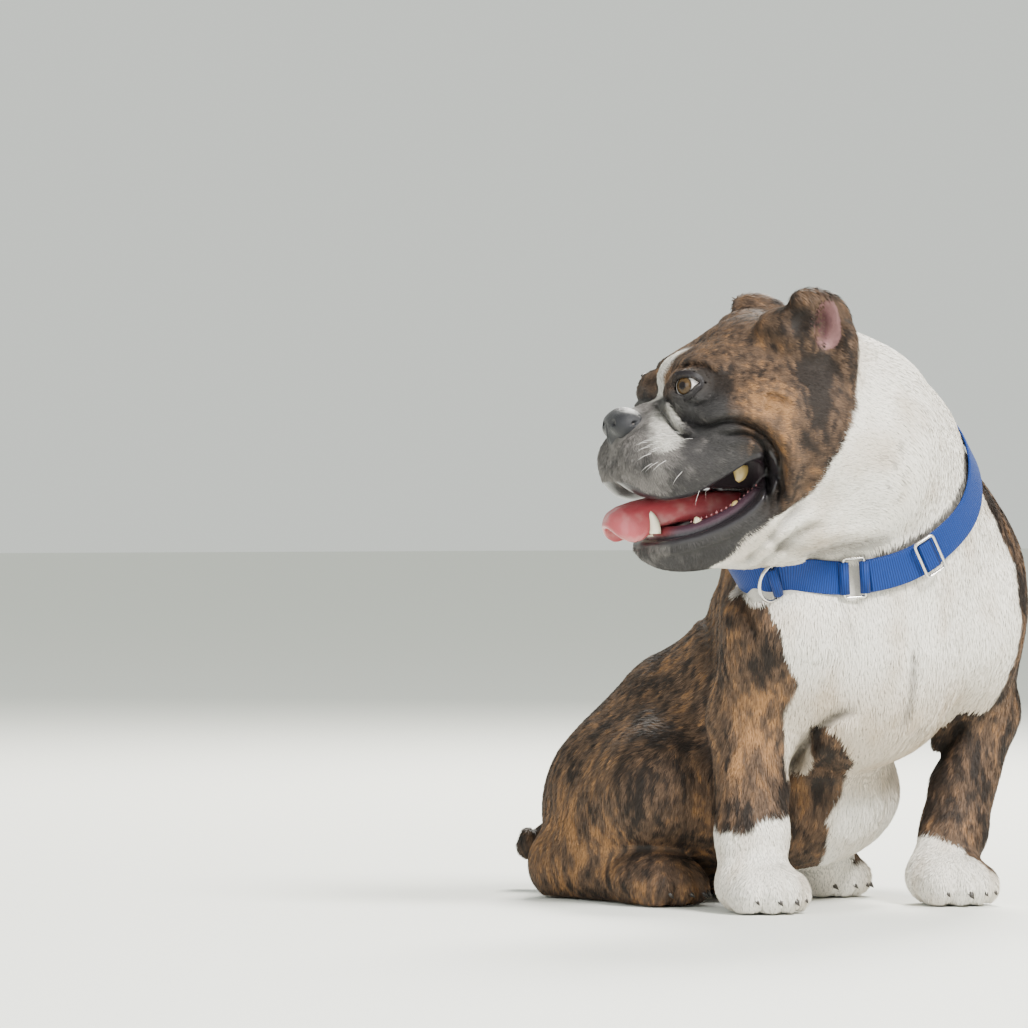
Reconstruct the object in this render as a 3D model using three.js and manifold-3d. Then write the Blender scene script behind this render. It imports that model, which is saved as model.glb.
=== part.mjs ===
// A sitting english bulldog at life size, its head turned to its right, mouth open, with a webbing collar.
// Millimetres. The chest faces -Y, +X is the dog's left, +Z is up and the floor is z = 0.
import * as THREE from 'three';
import { mergeVertices } from 'three/addons/utils/BufferGeometryUtils.js';
import Module from 'manifold-3d';

const wasm = await Module();
wasm.setup();

// Driving dimensions

const GAP = 0.3;            // between nodes that meet
// Size of the facets
const CELL = { body: 20, neck: 23, foreleg: 14.5, hindleg: 16.5, skull: 12.5, muzzle: 8.5, jaw: 9.2, nose: 6.5, ear: 6.5,
  tongue: 6, tail: 9 };
const REACH = 900;          // a length past every side of the dog

const HEAD_AT = [-85, -190, 386];   // middle of the skull
const HEAD_TURN = 103;              // degrees that the face is turned to the dog's right
const HIPS_AT = [-30, 60, 0];
const HIPS_TURN = 18;               // degrees that the hips are turned against the chest

// Masses of the trunk: a centre and a radius at each end, or a centre and three half sizes
const RIBS = [[15, -125, 203, 90], [1, -30, 150, 81]];
const WITHERS = [[10, -84, 262, 55], [8, -21, 218, 41]];
const RUMP = [[-19, 33, 122, 79], [-40, 77, 68, 87]];
const BELLY = { at: [-13, -11, 104], size: [104, 108, 82] };
const FORE_CHEST = { at: [14, -160, 226], size: [96, 58, 74] };
const BRISKET = { at: [10, -138, 168], size: [80, 68, 64] };
const ABDOMEN = { at: [11, -58, 86], size: [86, 74, 60] };
const NECK = [[19, -102, 263, 81], [25, -142, 304, 87], [7, -171, 344, 68], [-25, -192, 367, 68]];

// Each foreleg: shoulder blade, point of the shoulder, elbow, wrist and paw
const FORELEGS = {
  right: {
    blade: { at: [-49, -136, 222], size: [38, 56, 73] },
    point: [-69, -165, 217, 47], elbow: [-75, -132, 147, 34], wrist: [-85, -147, 60, 28], paw: [-88, -152, 25, 26],
  },
  left: {
    blade: { at: [101, -133, 239], size: [60, 71, 85] },
    point: [100, -158, 214, 42], elbow: [138, -122, 148, 32], wrist: [110, -131, 58, 26], paw: [92, -140, 26, 25],
  },
};

// Each hind leg in the hips' own frame, out to the side from the middle
const HINDLEGS = {
  right: { side: -1, hip: [55, 5, 89, 52], knee: [98, -74, 92, 44], hock: [79, 42, 26, 27], ankle: [104, -58, 20, 22] },
  left: { side: 1, hip: [55, 5, 89, 52], knee: [98, -74, 92, 44], hock: [79, 42, 26, 27], ankle: [66, -78, 20, 22] },
};
const PAW = { size: [31, 38, 24], forward: 10, toeSize: [10.5, 19, 16], toeSpread: 14.5, toeReach: [34, 25] };
const TAIL = [[0, 108, 52, 17], [4, 132, 40, 14], [-6, 146, 34, 10], [-14, 140, 44, 7]];

const EYE = { at: [41, -86, 10], radius: 12, gaze: [0.6, -0.8, 0], opening: [13, 16, 7.4] };
const NOSE = { at: [0, -126, -18], size: [21, 13, 13], rim: 2, back: -117, depth: 60 };
const NOSTRIL = { at: [9.5, -139, -19], size: [4.5, 8, 3.4] };
const TOOTH = { canine: [5, 21], molar: [4.5, 10], incisor: [2.6, 8] };
const STRAP = { width: 25.4, thickness: 2, clear: 0.5, step: 11 };
const WIRE = 2.6;           // thickness of the collar's metal wire
const SEAT = 30;            // depth of a seat cut round the metal
const LOOP = { inner: 2.15, outer: 3.9, height: 3.4 };    // the strap's fold round a bar
const RING = { length: 18.6, width: 32, corner: 3 };
const SLIDER = { length: 20, width: 31, corner: 4, along: 60 };
const D_RING = { width: 31.6, reach: 17, along: -63, turn: -45 };

// Small vector helpers

const add = (a, b, k = 1) => [a[0] + b[0] * k, a[1] + b[1] * k, a[2] + b[2] * k];
const sub = (a, b) => add(a, b, -1);
const dot = (a, b) => a[0] * b[0] + a[1] * b[1] + a[2] * b[2];
const cross = (a, b) => [a[1] * b[2] - a[2] * b[1], a[2] * b[0] - a[0] * b[2], a[0] * b[1] - a[1] * b[0]];
const unit = (a) => a.map((v) => v / Math.hypot(...a));
const clamp = (v, low, high) => Math.min(high, Math.max(low, v));
const radians = THREE.MathUtils.degToRad;

function turnZ(p, degrees) {
  const c = Math.cos(radians(degrees));
  const s = Math.sin(radians(degrees));
  return [p[0] * c - p[1] * s, p[0] * s + p[1] * c, p[2]];
}

const headToDog = (p) => add(HEAD_AT, turnZ(p, -HEAD_TURN));
const dogToHead = (p) => turnZ(sub(p, HEAD_AT), HEAD_TURN);
const hipsToDog = (p) => add(HIPS_AT, turnZ(p, HIPS_TURN));
const headMatrix = new THREE.Matrix4().makeRotationZ(radians(-HEAD_TURN)).setPosition(...HEAD_AT);

// Fields: functions of a point, negative inside a form and about the distance to it outside

const blend = (a, b, k) => {
  const h = clamp(0.5 + 0.5 * (b - a) / k, 0, 1);
  return b + (a - b) * h - k * h * (1 - h);
};
const carve = (a, b, k) => -blend(-a, b, k);

function cone(from, to) {
  const [a, ra] = [from.slice(0, 3), from[3]];
  const [b, rb] = [to.slice(0, 3), to[3]];
  const ba = sub(b, a);
  const length = dot(ba, ba);
  return (p) => {
    const q = sub(p, a);
    const t = clamp(dot(q, ba) / length, 0, 1);
    return Math.hypot(...add(q, ba, -t)) - (ra + t * (rb - ra));
  };
}

function egg(at, size, tilt = 0, roll = 0) {
  const e = new THREE.Matrix4().makeRotationFromEuler(new THREE.Euler(radians(tilt), radians(roll), 0)).elements;
  return (p) => {
    const q = sub(p, at);
    const x = (q[0] * e[0] + q[1] * e[1] + q[2] * e[2]) / size[0];
    const y = (q[0] * e[4] + q[1] * e[5] + q[2] * e[6]) / size[1];
    const z = (q[0] * e[8] + q[1] * e[9] + q[2] * e[10]) / size[2];
    const k0 = Math.hypot(x, y, z) + 1e-6;
    return k0 * (k0 - 1) / (Math.hypot(x / size[0], y / size[1], z / size[2]) + 1e-9);
  };
}

function tube(points, radius, perSpan = 3) {
  const curve = new THREE.CatmullRomCurve3(points.map((p) => new THREE.Vector3(...p)));
  const line = curve.getPoints((points.length - 1) * perSpan).map((p) => p.toArray());
  return (p) => {
    let best = Infinity;
    for (let i = 0; i + 1 < line.length; i += 1) {
      const ba = sub(line[i + 1], line[i]);
      const q = sub(p, line[i]);
      const t = clamp(dot(q, ba) / dot(ba, ba), 0, 1);
      best = Math.min(best, Math.hypot(...add(q, ba, -t)));
    }
    return best - radius;
  };
}

// Blends a list of [field, softness] pairs in their order
function blended(parts) {
  return (p) => parts.reduce((d, [field, k]) => (d === null ? field(p) : blend(d, field(p), k)), null);
}

function along(y, stops) {
  for (let i = 1; i < stops.length; i += 1) {
    if (y < stops[i][0]) {
      const t = clamp((y - stops[i - 1][0]) / (stops[i][0] - stops[i - 1][0]), 0, 1);
      return stops[i - 1][1] + t * (stops[i][1] - stops[i - 1][1]);
    }
  }
  return stops[stops.length - 1][1];
}

// The trunk and legs

function paw(at, place = (p) => p, turn = 0) {
  const [x, y] = at;
  const pad = place([x, y - PAW.forward, 20]);
  const turned = (size, centre) => {
    const shape = egg([0, 0, 0], size);
    return (p) => shape(turnZ(sub(p, centre), -turn));
  };
  const toes = [-1.5, -0.5, 0.5, 1.5].map((k) => {
    const reach = PAW.toeReach[Math.abs(k) < 1 ? 0 : 1];
    return [turned(PAW.toeSize, place([x + k * PAW.toeSpread, y - reach, 15])), 5];
  });
  return blended([[turned(PAW.size, pad), 0], ...toes]);
}

function foreleg({ point, elbow, wrist, paw: foot }) {
  return blended([[cone(point, elbow), 0], [cone(elbow, wrist), 14], [cone(wrist, foot), 10], [paw(foot), 10]]);
}

function hindleg({ side, hip, knee, hock, ankle }) {
  const place = ([x, y, z]) => hipsToDog([side * x, y, z]);
  const at = (p) => [...place(p), p[3]];
  return blended([
    [cone(at(hip), at(knee)), 0],
    [cone(at(knee), at(hock)), 20],
    [cone(at(hock), at(ankle)), 14],
    [paw([ankle[0] + 2, ankle[1] - 8], place, HIPS_TURN), 10],
  ]);
}

const trunk = blended([
  [cone(...RIBS), 0],
  [egg(BELLY.at, BELLY.size), 30],
  [cone(...RUMP), 30],
  [cone(...WITHERS), 40],
  [egg(FORE_CHEST.at, FORE_CHEST.size), 26],
  [egg(ABDOMEN.at, ABDOMEN.size), 20],
  [egg(BRISKET.at, BRISKET.size), 16],
  ...Object.values(FORELEGS).flatMap((leg) => [[egg(leg.blade.at, leg.blade.size, 12), 24], [foreleg(leg), 24]]),
  ...Object.values(HINDLEGS).map((leg) => [hindleg(leg), 26]),
]);
const neck = blended(NECK.slice(1).map((end, i) => [cone(NECK[i], end), 12]));

// The head, in its own frame: x to its left, y back, z up. Masses with x above 0 are on both sides

const SKULL = [
  [egg([0, 2, 6], [65, 76, 62]), 0],
  [egg([0, -27, 27], [46, 42, 36]), 18],
  [egg([21, -56, 13], [33, 38, 31]), 14],
  [egg([0, -72, 17], [22, 27, 22]), 8],
  [egg([32, -89, 6], [17, 16, 18]), 8],
  [egg([50, -2, -26], [34, 56, 48]), 26],
  [egg([54, -44, -12], [27, 42, 27]), 20],
];
const UPPER_LIP = [[1, -131, -51], [15, -129, -56], [31, -116, -64], [43, -104, -66], [51, -88, -63], [57, -70, -51],
  [61, -52, -39], [63, -37, -35], [65, -28, -41]];
const LOWER_LIP = [[-5, -106, -109], [13, -105, -109], [30, -103, -108], [41, -94, -106], [49, -80, -102],
  [55, -64, -95], [60, -48, -85], [64, -34, -72], [66, -27, -56]];
const MUZZLE = [
  [cone([0, -64, -28, 42], [0, -98, -36, 36]), 12],
  [cone([0, -88, -19, 17], [0, -118, -24, 16]), 10],
  [egg([25, -107, -45], [25, 31, 28]), 10],
  [egg([40, -84, -48], [27, 40, 27]), 14],
  [egg([54, -46, -44], [24, 36, 26]), 16],
  [tube(UPPER_LIP, 8), 10],
  [egg([0, -122, -36], [16, 14, 16]), 6],
  [egg(NOSE.at, NOSE.size), 4],
];
const JAW = blended([
  [egg([0, -85, -113], [35, 27, 15]), 0],
  [cone([24, -84, -111, 14], [46, -34, -90, 20]), 10],
  [egg([0, -50, -106], [44, 46, 20]), 14],
  [egg([0, -4, -80], [62, 54, 42]), 24],
  [tube(LOWER_LIP, 7), 8],
]);
const THROAT = cone([0, 0, -52, 56], [0, 54, -46, 62]);

// The room between the lips seen from the side, as [y, z] stops, the palate's height and half widths, and the gum
const MOUTH_TOP = [[-150, -60], [-139, -62], [-122, -74], [-106, -77], [-90, -73], [-72, -61], [-54, -48], [-42, -43],
  [-34, -46], [-28, -56], [-24, -80]];
const MOUTH_LOW = [[-150, -103], [-118, -102], [-100, -100], [-84, -96], [-68, -90], [-54, -82], [-42, -72],
  [-33, -62], [-26, -50], [-22, -40]];
const PALATE = { height: -66, inner: 34, outer: 44 };
const GUM = [[-4, -104, -99], [14, -103, -99], [27, -97, -99], [35, -84, -97], [41, -68, -91], [46, -52, -82],
  [50, -38, -70]];
const gums = tube(GUM, 6.5);
const headMass = blended([...SKULL, ...MUZZLE, [JAW, 14], [THROAT, 26]]);

function head(p) {
  const m = [Math.abs(p[0]), p[1], p[2]];
  const top = along(p[1], MOUTH_TOP);
  const middle = clamp((PALATE.outer - m[0]) / (PALATE.outer - PALATE.inner), 0, 1);
  const roof = top + (Math.min(top, PALATE.height) - top) * middle;
  const slit = Math.max(p[2] - roof, along(p[1], MOUTH_LOW) - p[2]) * 0.8;
  return blend(carve(headMass(m), slit, 4), gums(m), 3);
}

const flesh = (p) => blend(blend(trunk(p), neck(p), 34), head(dogToHead(p)), 26);

const EAR = blended([
  [egg([60, 5, 54], [14, 30, 31], 0, 12), 0],
  [egg([64, 25, 34], [12, 14, 27], 0, 12), 8],
  [egg([46, -12, 56], [18, 26, 16]), 14],
  [egg([66, -4, 76], [9, 15, 9]), 6],
]);
const EAR_CUP = egg([80, 9, 57], [19, 9, 20], 0, 12);
const EAR_HOLLOW = egg([80, -15, 60], [15, 9, 11]);
const ears = (p) => {
  const m = [Math.abs(p[0]), p[1], p[2]];
  return carve(carve(EAR(m), EAR_CUP(m), 5), EAR_HOLLOW(m), 5);
};
const dog = (p) => blend(flesh(p), ears(dogToHead(p)), 12);

// The tongue is an arch that hangs over the lower teeth: its top, the fall of its sides and half its thickness
// along [y, ...] stops, half its width, and its tip and end
const TONGUE = {
  top: [[-146, -90], [-138, -83], [-130, -78], [-118, -74], [-104, -71], [-88, -68], [-60, -66], [-20, -67]],
  droop: [[-140, 18], [-118, 17], [-104, 10], [-80, 6]],
  thick: [[-140, 6], [-122, 7], [-104, 8], [-60, 11]],
  half: 23,
  tip: -141,
  end: -10,
};

function tongue(p) {
  const [x, y, z] = dogToHead(p);
  const { half, tip, end } = TONGUE;
  const [top, droop, thick] = [TONGUE.top, TONGUE.droop, TONGUE.thick].map((stops) => along(y, stops));
  const middle = top - thick - droop * Math.min((x / half) ** 2, 1.6);
  const steepness = 2 * droop * clamp(x, -half, half) / half ** 2;
  const height = (z - middle) / Math.hypot(1, steepness);
  const edge = Math.hypot(x, 1.22 * Math.max(tip + 0.8 * half - y, 0)) - half + thick;
  return Math.max(Math.hypot(Math.max(edge, 0), height) - thick, y - end);
}

const tail = blended(TAIL.slice(1).map((end, i) => {
  const place = ([x, y, z, r]) => [...hipsToDog([x, y, z]), r];
  return [cone(place(TAIL[i]), place(end)), 5];
}));

// Meshes a field inside a box as one closed net of facets of about one cell, where it can without a pinched edge
function net(field, [low, high], cell, level = 0) {
  let closed = null;
  for (const shift of [0, 0.21, 0.43, 0.67]) {
    const geometry = netOnce(field, low.map((v) => v - shift * cell), high, cell, level);
    const clean = !pinched(geometry.index.array);
    if (!clean && closed) continue;
    try {
      closed = new Solid(geometry);
    } catch (error) {
      if (!String(error).includes('anifold')) throw error;
      continue;
    }
    if (clean) return closed;
  }
  if (!closed) throw new Error('no closed net');
  return closed;
}

// Whether any edge joins more than two facets
function pinched(corners) {
  const uses = new Map();
  for (let i = 0; i < corners.length; i += 1) {
    const next = i % 3 === 2 ? i - 2 : i + 1;
    const key = [Math.min(corners[i], corners[next]), Math.max(corners[i], corners[next])].join();
    uses.set(key, (uses.get(key) ?? 0) + 1);
  }
  return [...uses.values()].some((count) => count > 2);
}

// Lattice points in a block, whose middle tells whether the surface can be near
const BLOCK = 3;

function netOnce(field, low, high, cell, level) {
  const n = low.map((v, i) => Math.ceil((high[i] - v) / cell) + 1);
  const index = (i, j, k) => (i * n[1] + j) * n[2] + k;
  const values = new Float64Array(n[0] * n[1] * n[2]);
  const lattice = (i, j, k) => [low[0] + i * cell, low[1] + j * cell, low[2] + k * cell];
  const coarse = new Map();
  const roughly = (i, j, k) => {
    const block = [i, j, k].map((v) => Math.floor(v / BLOCK));
    const key = block.join();
    if (!coarse.has(key)) coarse.set(key, field(lattice(...block.map((v) => (v + 0.5) * BLOCK - 0.5))) - level);
    return coarse.get(key);
  };
  for (let i = 0; i < n[0]; i += 1) {
    for (let j = 0; j < n[1]; j += 1) {
      for (let k = 0; k < n[2]; k += 1) {
        const edge = i === 0 || j === 0 || k === 0 || i === n[0] - 1 || j === n[1] - 1 || k === n[2] - 1;
        const rough = roughly(i, j, k);
        const value = Math.abs(rough) > BLOCK * cell * 1.6 ? rough : field(lattice(i, j, k)) - level;
        values[index(i, j, k)] = edge ? Math.max(value, cell * 0.3) : value;
      }
    }
  }
  const corners = [0, 1, 2, 3, 4, 5, 6, 7].map((c) => [c & 1, (c >> 1) & 1, (c >> 2) & 1]);
  const cellEdges = [];
  corners.forEach((a, i) => corners.forEach((b, j) => {
    if (i < j && Math.abs(a[0] - b[0]) + Math.abs(a[1] - b[1]) + Math.abs(a[2] - b[2]) === 1) cellEdges.push([a, b]);
  }));
  const ids = new Map();
  const positions = [];
  for (let i = 0; i + 1 < n[0]; i += 1) {
    for (let j = 0; j + 1 < n[1]; j += 1) {
      for (let k = 0; k + 1 < n[2]; k += 1) {
        const sum = [0, 0, 0];
        let count = 0;
        for (const [a, b] of cellEdges) {
          const va = values[index(i + a[0], j + a[1], k + a[2])];
          const vb = values[index(i + b[0], j + b[1], k + b[2])];
          if ((va < 0) !== (vb < 0)) {
            const t = va / (va - vb);
            for (let c = 0; c < 3; c += 1) sum[c] += a[c] + t * (b[c] - a[c]);
            count += 1;
          }
        }
        if (count) {
          ids.set(index(i, j, k), positions.length / 3);
          const start = [i, j, k].map((v, c) => low[c] + (v + sum[c] / count) * cell);
          positions.push(...settle(field, level, start, cell * 0.35));
        }
      }
    }
  }
  const faces = [];
  for (let axis = 0; axis < 3; axis += 1) {
    const [u, v] = [(axis + 1) % 3, (axis + 2) % 3];
    for (let i = 0; i + 1 < n[0]; i += 1) {
      for (let j = 0; j + 1 < n[1]; j += 1) {
        for (let k = 0; k + 1 < n[2]; k += 1) {
          const at = [i, j, k];
          if (at[u] === 0 || at[v] === 0) continue;
          const far = [...at];
          far[axis] += 1;
          const va = values[index(...at)];
          const vb = values[index(...far)];
          if ((va < 0) === (vb < 0)) continue;
          const cellAt = (du, dv) => {
            const c = [...at];
            c[u] -= du;
            c[v] -= dv;
            return ids.get(index(...c));
          };
          const q = [cellAt(0, 0), cellAt(1, 0), cellAt(1, 1), cellAt(0, 1)];
          if (vb < 0) q.reverse();
          const point = (m) => new THREE.Vector3(...positions.slice(m * 3, m * 3 + 3));
          const short = point(q[0]).distanceTo(point(q[2])) < point(q[1]).distanceTo(point(q[3]));
          if (short) faces.push(q[0], q[1], q[2], q[0], q[2], q[3]);
          else faces.push(q[1], q[2], q[3], q[1], q[3], q[0]);
        }
      }
    }
  }
  const geometry = new THREE.BufferGeometry();
  geometry.setAttribute('position', new THREE.Float32BufferAttribute(positions, 3));
  geometry.setIndex(faces);
  return geometry;
}

// Slope of a field at a point
function slope(field, p, step = 1) {
  return [0, 1, 2].map((c) => {
    const ahead = [...p];
    const behind = [...p];
    ahead[c] += step;
    behind[c] -= step;
    return (field(ahead) - field(behind)) / (2 * step);
  });
}

// Moves a point onto the field's surface, no further than a limit
function settle(field, level, start, limit) {
  let p = start;
  for (let round = 0; round < 3; round += 1) {
    const g = slope(field, p);
    const size = dot(g, g);
    if (size < 1e-6) return start;
    p = add(p, g, -(field(p) - level) / size);
  }
  const moved = sub(p, start);
  const far = Math.hypot(...moved);
  return far > limit ? add(start, moved, limit / far) : p;
}

// A closed solid that can be joined and cut
class Solid {
  constructor(source) {
    if (source instanceof THREE.BufferGeometry) {
      const bare = source.clone();
      bare.deleteAttribute('normal');
      bare.deleteAttribute('uv');
      const merged = mergeVertices(bare, 1e-4);
      this.body = new wasm.Manifold(new wasm.Mesh({
        numProp: 3,
        vertProperties: Float32Array.from(merged.attributes.position.array),
        triVerts: Uint32Array.from(merged.index.array),
      }));
    } else {
      this.body = source;
    }
  }

  plus(...others) {
    return new Solid(others.reduce((body, other) => body.add(other.body), this.body));
  }

  minus(...others) {
    return new Solid(others.reduce((body, other) => body.subtract(other.body), this.body));
  }

  within(...others) {
    return new Solid(others.reduce((body, other) => body.intersect(other.body), this.body));
  }

  // The largest closed surface alone
  largest() {
    const pieces = this.body.decompose().map((body) => new Solid(body));
    return pieces.sort((a, b) => b.body.volume() - a.body.volume())[0];
  }

  geometry() {
    const mesh = this.body.getMesh();
    const geometry = new THREE.BufferGeometry();
    geometry.setAttribute('position', new THREE.Float32BufferAttribute(mesh.vertProperties, 3));
    geometry.setIndex([...mesh.triVerts]);
    return geometry;
  }
}

// The same solid with its surface moved out
function grown(solid, distance) {
  const geometry = solid.geometry();
  geometry.computeVertexNormals();
  const { position, normal } = geometry.attributes;
  for (let i = 0; i < position.count; i += 1) {
    const [p, n] = [position, normal].map((a) => [a.getX(i), a.getY(i), a.getZ(i)]);
    position.setXYZ(i, ...add(p, n, distance));
  }
  return new Solid(geometry);
}

// Cutters

function block(size, matrix) {
  return new Solid(new THREE.BoxGeometry(...size).applyMatrix4(matrix));
}

// Everything on the side of a plane that its normal points to
function halfSpace(point, normal) {
  const [up, way] = [[0, 0, 1], unit(normal)].map((v) => new THREE.Vector3(...v));
  const turn = new THREE.Quaternion().setFromUnitVectors(up, way);
  const centre = add(point, unit(normal), REACH / 2);
  const matrix = new THREE.Matrix4().compose(new THREE.Vector3(...centre), turn, new THREE.Vector3(1, 1, 1));
  return block([REACH, REACH, REACH], matrix);
}

const shifted = (point, normal, distance) => add(point, unit(normal), distance);
const headPlane = (point, normal) => [headToDog(point), turnZ(normal, -HEAD_TURN)];

// A straight prism across the head from an outline of [y, z] points
function headPrism(outline, halfWidth) {
  const shape = new THREE.Shape(outline.map(([y, z]) => new THREE.Vector2(y, z)));
  const geometry = new THREE.ExtrudeGeometry(shape, { depth: 2 * halfWidth, bevelEnabled: false });
  const across = new THREE.Matrix4().makeBasis(
    new THREE.Vector3(0, 1, 0), new THREE.Vector3(0, 0, 1), new THREE.Vector3(1, 0, 0),
  ).setPosition(-halfWidth, 0, 0);
  return new Solid(geometry.applyMatrix4(across).applyMatrix4(headMatrix));
}

const FLOOR = halfSpace([0, 0, 0], [0, 0, 1]);

// Planes between head, neck and trunk, and between trunk and legs
const NAPE = headPlane([0, 46, 0], [0, -0.94, 0.34]);       // points to the face
const MUZZLE_PLANE = headPlane([0, -98, 2], [0, -0.71, -0.71]);   // points to the muzzle
const COLLAR_PLANE = [[12, -140, 276], [-0.25, -0.3, 0.92]];  // points to the neck
const JAW_LINE = [[-29, -56], [-62, -69], [-106, -87], [-190, -90], [-190, -136], [-34, -136], [-4, -112]];
const JAW_GAP = 0.45;         // moves the jaw's top and back planes apart by the gap
const THROAT_PLANE = headPlane([0, 0, -136], [0, 0, 1]);     // points to the head

function legCutter(side, grow) {
  const s = side === 'right' ? -1 : 1;
  const inner = side === 'right' ? [-44, 0, 190] : [82, 0, 190];
  const inward = [s, 0, side === 'right' ? -0.12 : -0.28];
  const top = [[0, -150, 204], [0, 0.25, -1]];
  const back = [[0, -93, 150], [0, -1, 0.14]];
  return [[inner, inward], top, back].map(([point, normal]) => halfSpace(shifted(point, normal, -grow), normal))
    .reduce((a, b) => a.within(b));
}

function haunchCutter(side, grow) {
  const s = side === 'right' ? -1 : 1;
  const normal = turnZ([s, 0, -0.24], HIPS_TURN);
  return halfSpace(shifted(hipsToDog([s * 46, 0, 0]), normal, -grow), normal)
    .within(halfSpace([0, -40, 172 + grow], [0, -0.2, -1]));
}

// Pieces on the head

// A ball at a place of the head, stretched along the head's axes
function headBall(at, size, segments = 24) {
  const shape = new THREE.SphereGeometry(1, segments, segments / 2);
  shape.scale(...size).translate(...at).applyMatrix4(headMatrix);
  return new Solid(shape);
}

// A tooth with its root sunk below its place, leaning by two angles
function tooth([radius, length], at, down = false, lean = [0, 0], flat = 1) {
  const height = length * 1.6;
  const shape = new THREE.ConeGeometry(radius, height, 8);
  shape.scale(1, 1, flat).translate(0, height / 2 - length * 0.6, 0).rotateX(down ? -Math.PI / 2 : Math.PI / 2);
  shape.rotateX(radians(lean[0])).rotateY(radians(lean[1])).translate(...at).applyMatrix4(headMatrix);
  return new Solid(shape);
}

function teeth() {
  const lower = [];
  const upper = [];
  for (const s of [-1, 1]) {
    lower.push(tooth(TOOTH.canine, [s * 25, -109, -97], false, [8, s * 8]));
    lower.push(tooth(TOOTH.molar, [s * 36, -80, -94], false, [0, 0], 1.4));
    lower.push(tooth(TOOTH.molar, [s * 45, -52, -82], false, [0, 0], 1.6));
    upper.push(tooth(TOOTH.molar, [s * 45, -56, -56], true, [0, 0], 1.6));
    for (const k of [0.5, 1.5, 2.5]) {
      lower.push(tooth(TOOTH.incisor, [s * k * 5.4, -110 + k, -99], false, [6, 0]));
    }
  }
  return { lower, upper };
}

// The opening between the lids, seen along the eye's own line of sight
function lidOpening(side, grow) {
  const [across, deep, high] = EYE.opening;
  const heading = THREE.MathUtils.radToDeg(Math.atan2(EYE.gaze[0], -EYE.gaze[1]));
  const shape = new THREE.SphereGeometry(1, 14, 8).scale(across + grow, deep, high + grow).rotateZ(radians(heading));
  shape.translate(...add(EYE.at, EYE.gaze, EYE.radius * 0.94));
  if (side < 0) shape.scale(-1, 1, 1);
  const solid = shape.applyMatrix4(headMatrix);
  if (side < 0) solid.index.array.reverse();
  return new Solid(solid);
}

// Collar

// Places on the neck that the strap passes, from its rectangular ring round by the left side
const STRAP_WAY = [[-36, -213, 253], [6, -225, 263], [36, -229, 282], [60, -224, 302], [76, -212, 330],
  [80, -182, 362], [72, -136, 382], [42, -92, 372], [-4, -66, 350], [-52, -74, 322], [-84, -108, 296],
  [-98, -156, 272], [-88, -203, 259], [-62, -208, 254]];
const STRAP_POINTS = 72;

// Points of the strap's middle line with its width and outward directions, laid on the neck
function strapLine() {
  const curve = new THREE.CatmullRomCurve3(STRAP_WAY.map((p) => new THREE.Vector3(...p)), true);
  let line = curve.getSpacedPoints(STRAP_POINTS).slice(0, -1).map((p) => p.toArray());
  for (let round = 0; round < 4; round += 1) {
    line = line.map((p) => settle(flesh, STRAP.clear, p, 40));
    line = line.map((p, i) => {
      const [a, b] = [line.at(i - 1), line[(i + 1) % line.length]];
      return add(add(p, add(a, p, -1), 0.25), add(b, p, -1), 0.25);
    });
  }
  return line;
}

const strapCurve = new THREE.CatmullRomCurve3(strapLine().map((p) => new THREE.Vector3(...p)), true);
const STRAP_LENGTH = strapCurve.getLength();

// The strap's place at a distance along it, with its own axes: along, wide and out from the skin
function strapAt(distance) {
  const u = ((distance / STRAP_LENGTH) % 1 + 1) % 1;
  const at = strapCurve.getPointAt(u).toArray();
  const tangent = strapCurve.getTangentAt(u).toArray();
  const n = unit(slope(flesh, at, 16));
  const out = unit(add(n, tangent, -dot(n, tangent)));
  return { at, out, tangent, wide: cross(out, tangent) };
}

// A strip of webbing between two distances along the strap and two heights over its underside
function strip(width, [low, high], [from, to]) {
  const closed = to - from >= STRAP_LENGTH;
  const spans = Math.ceil((to - from) / STRAP.step);
  const count = closed ? spans : spans + 1;
  const positions = [];
  for (let i = 0; i < count; i += 1) {
    const { at, out, wide } = strapAt(from + (to - from) * i / spans);
    for (const [w, h] of [[-1, low], [1, low], [1, high], [-1, high]]) {
      positions.push(...add(add(at, wide, w * width / 2), out, h));
    }
  }
  const faces = [];
  for (let i = 0; i < spans; i += 1) {
    const j = (i + 1) % count;
    for (let c = 0; c < 4; c += 1) {
      const d = (c + 1) % 4;
      faces.push(i * 4 + c, j * 4 + d, j * 4 + c, i * 4 + c, i * 4 + d, j * 4 + d);
    }
  }
  if (!closed) {
    const e = (count - 1) * 4;
    faces.push(0, 2, 1, 0, 3, 2, e, e + 1, e + 2, e, e + 2, e + 3);
  }
  const geometry = new THREE.BufferGeometry();
  geometry.setAttribute('position', new THREE.Float32BufferAttribute(positions, 3));
  geometry.setIndex(faces);
  return new Solid(geometry);
}

// Sets a shape drawn along (x), wide (y) and out (z) on the strap
function onStrap(geometry, distance, height) {
  const { at, out, wide, tangent } = strapAt(distance);
  const matrix = new THREE.Matrix4().makeBasis(...[tangent, wide, out].map((v) => new THREE.Vector3(...v)));
  return new Solid(geometry.applyMatrix4(matrix.setPosition(...add(at, out, height))));
}

function roundedOutline(length, width, corner) {
  const [x, y] = [length / 2, width / 2];
  const shape = new THREE.Shape();
  shape.moveTo(-x + corner, -y).lineTo(x - corner, -y);
  shape.absarc(x - corner, -y + corner, corner, -Math.PI / 2, 0);
  shape.absarc(x - corner, y - corner, corner, 0, Math.PI / 2);
  shape.absarc(-x + corner, y - corner, corner, Math.PI / 2, Math.PI);
  shape.absarc(-x + corner, -y + corner, corner, Math.PI, Math.PI * 1.5);
  return shape;
}

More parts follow.
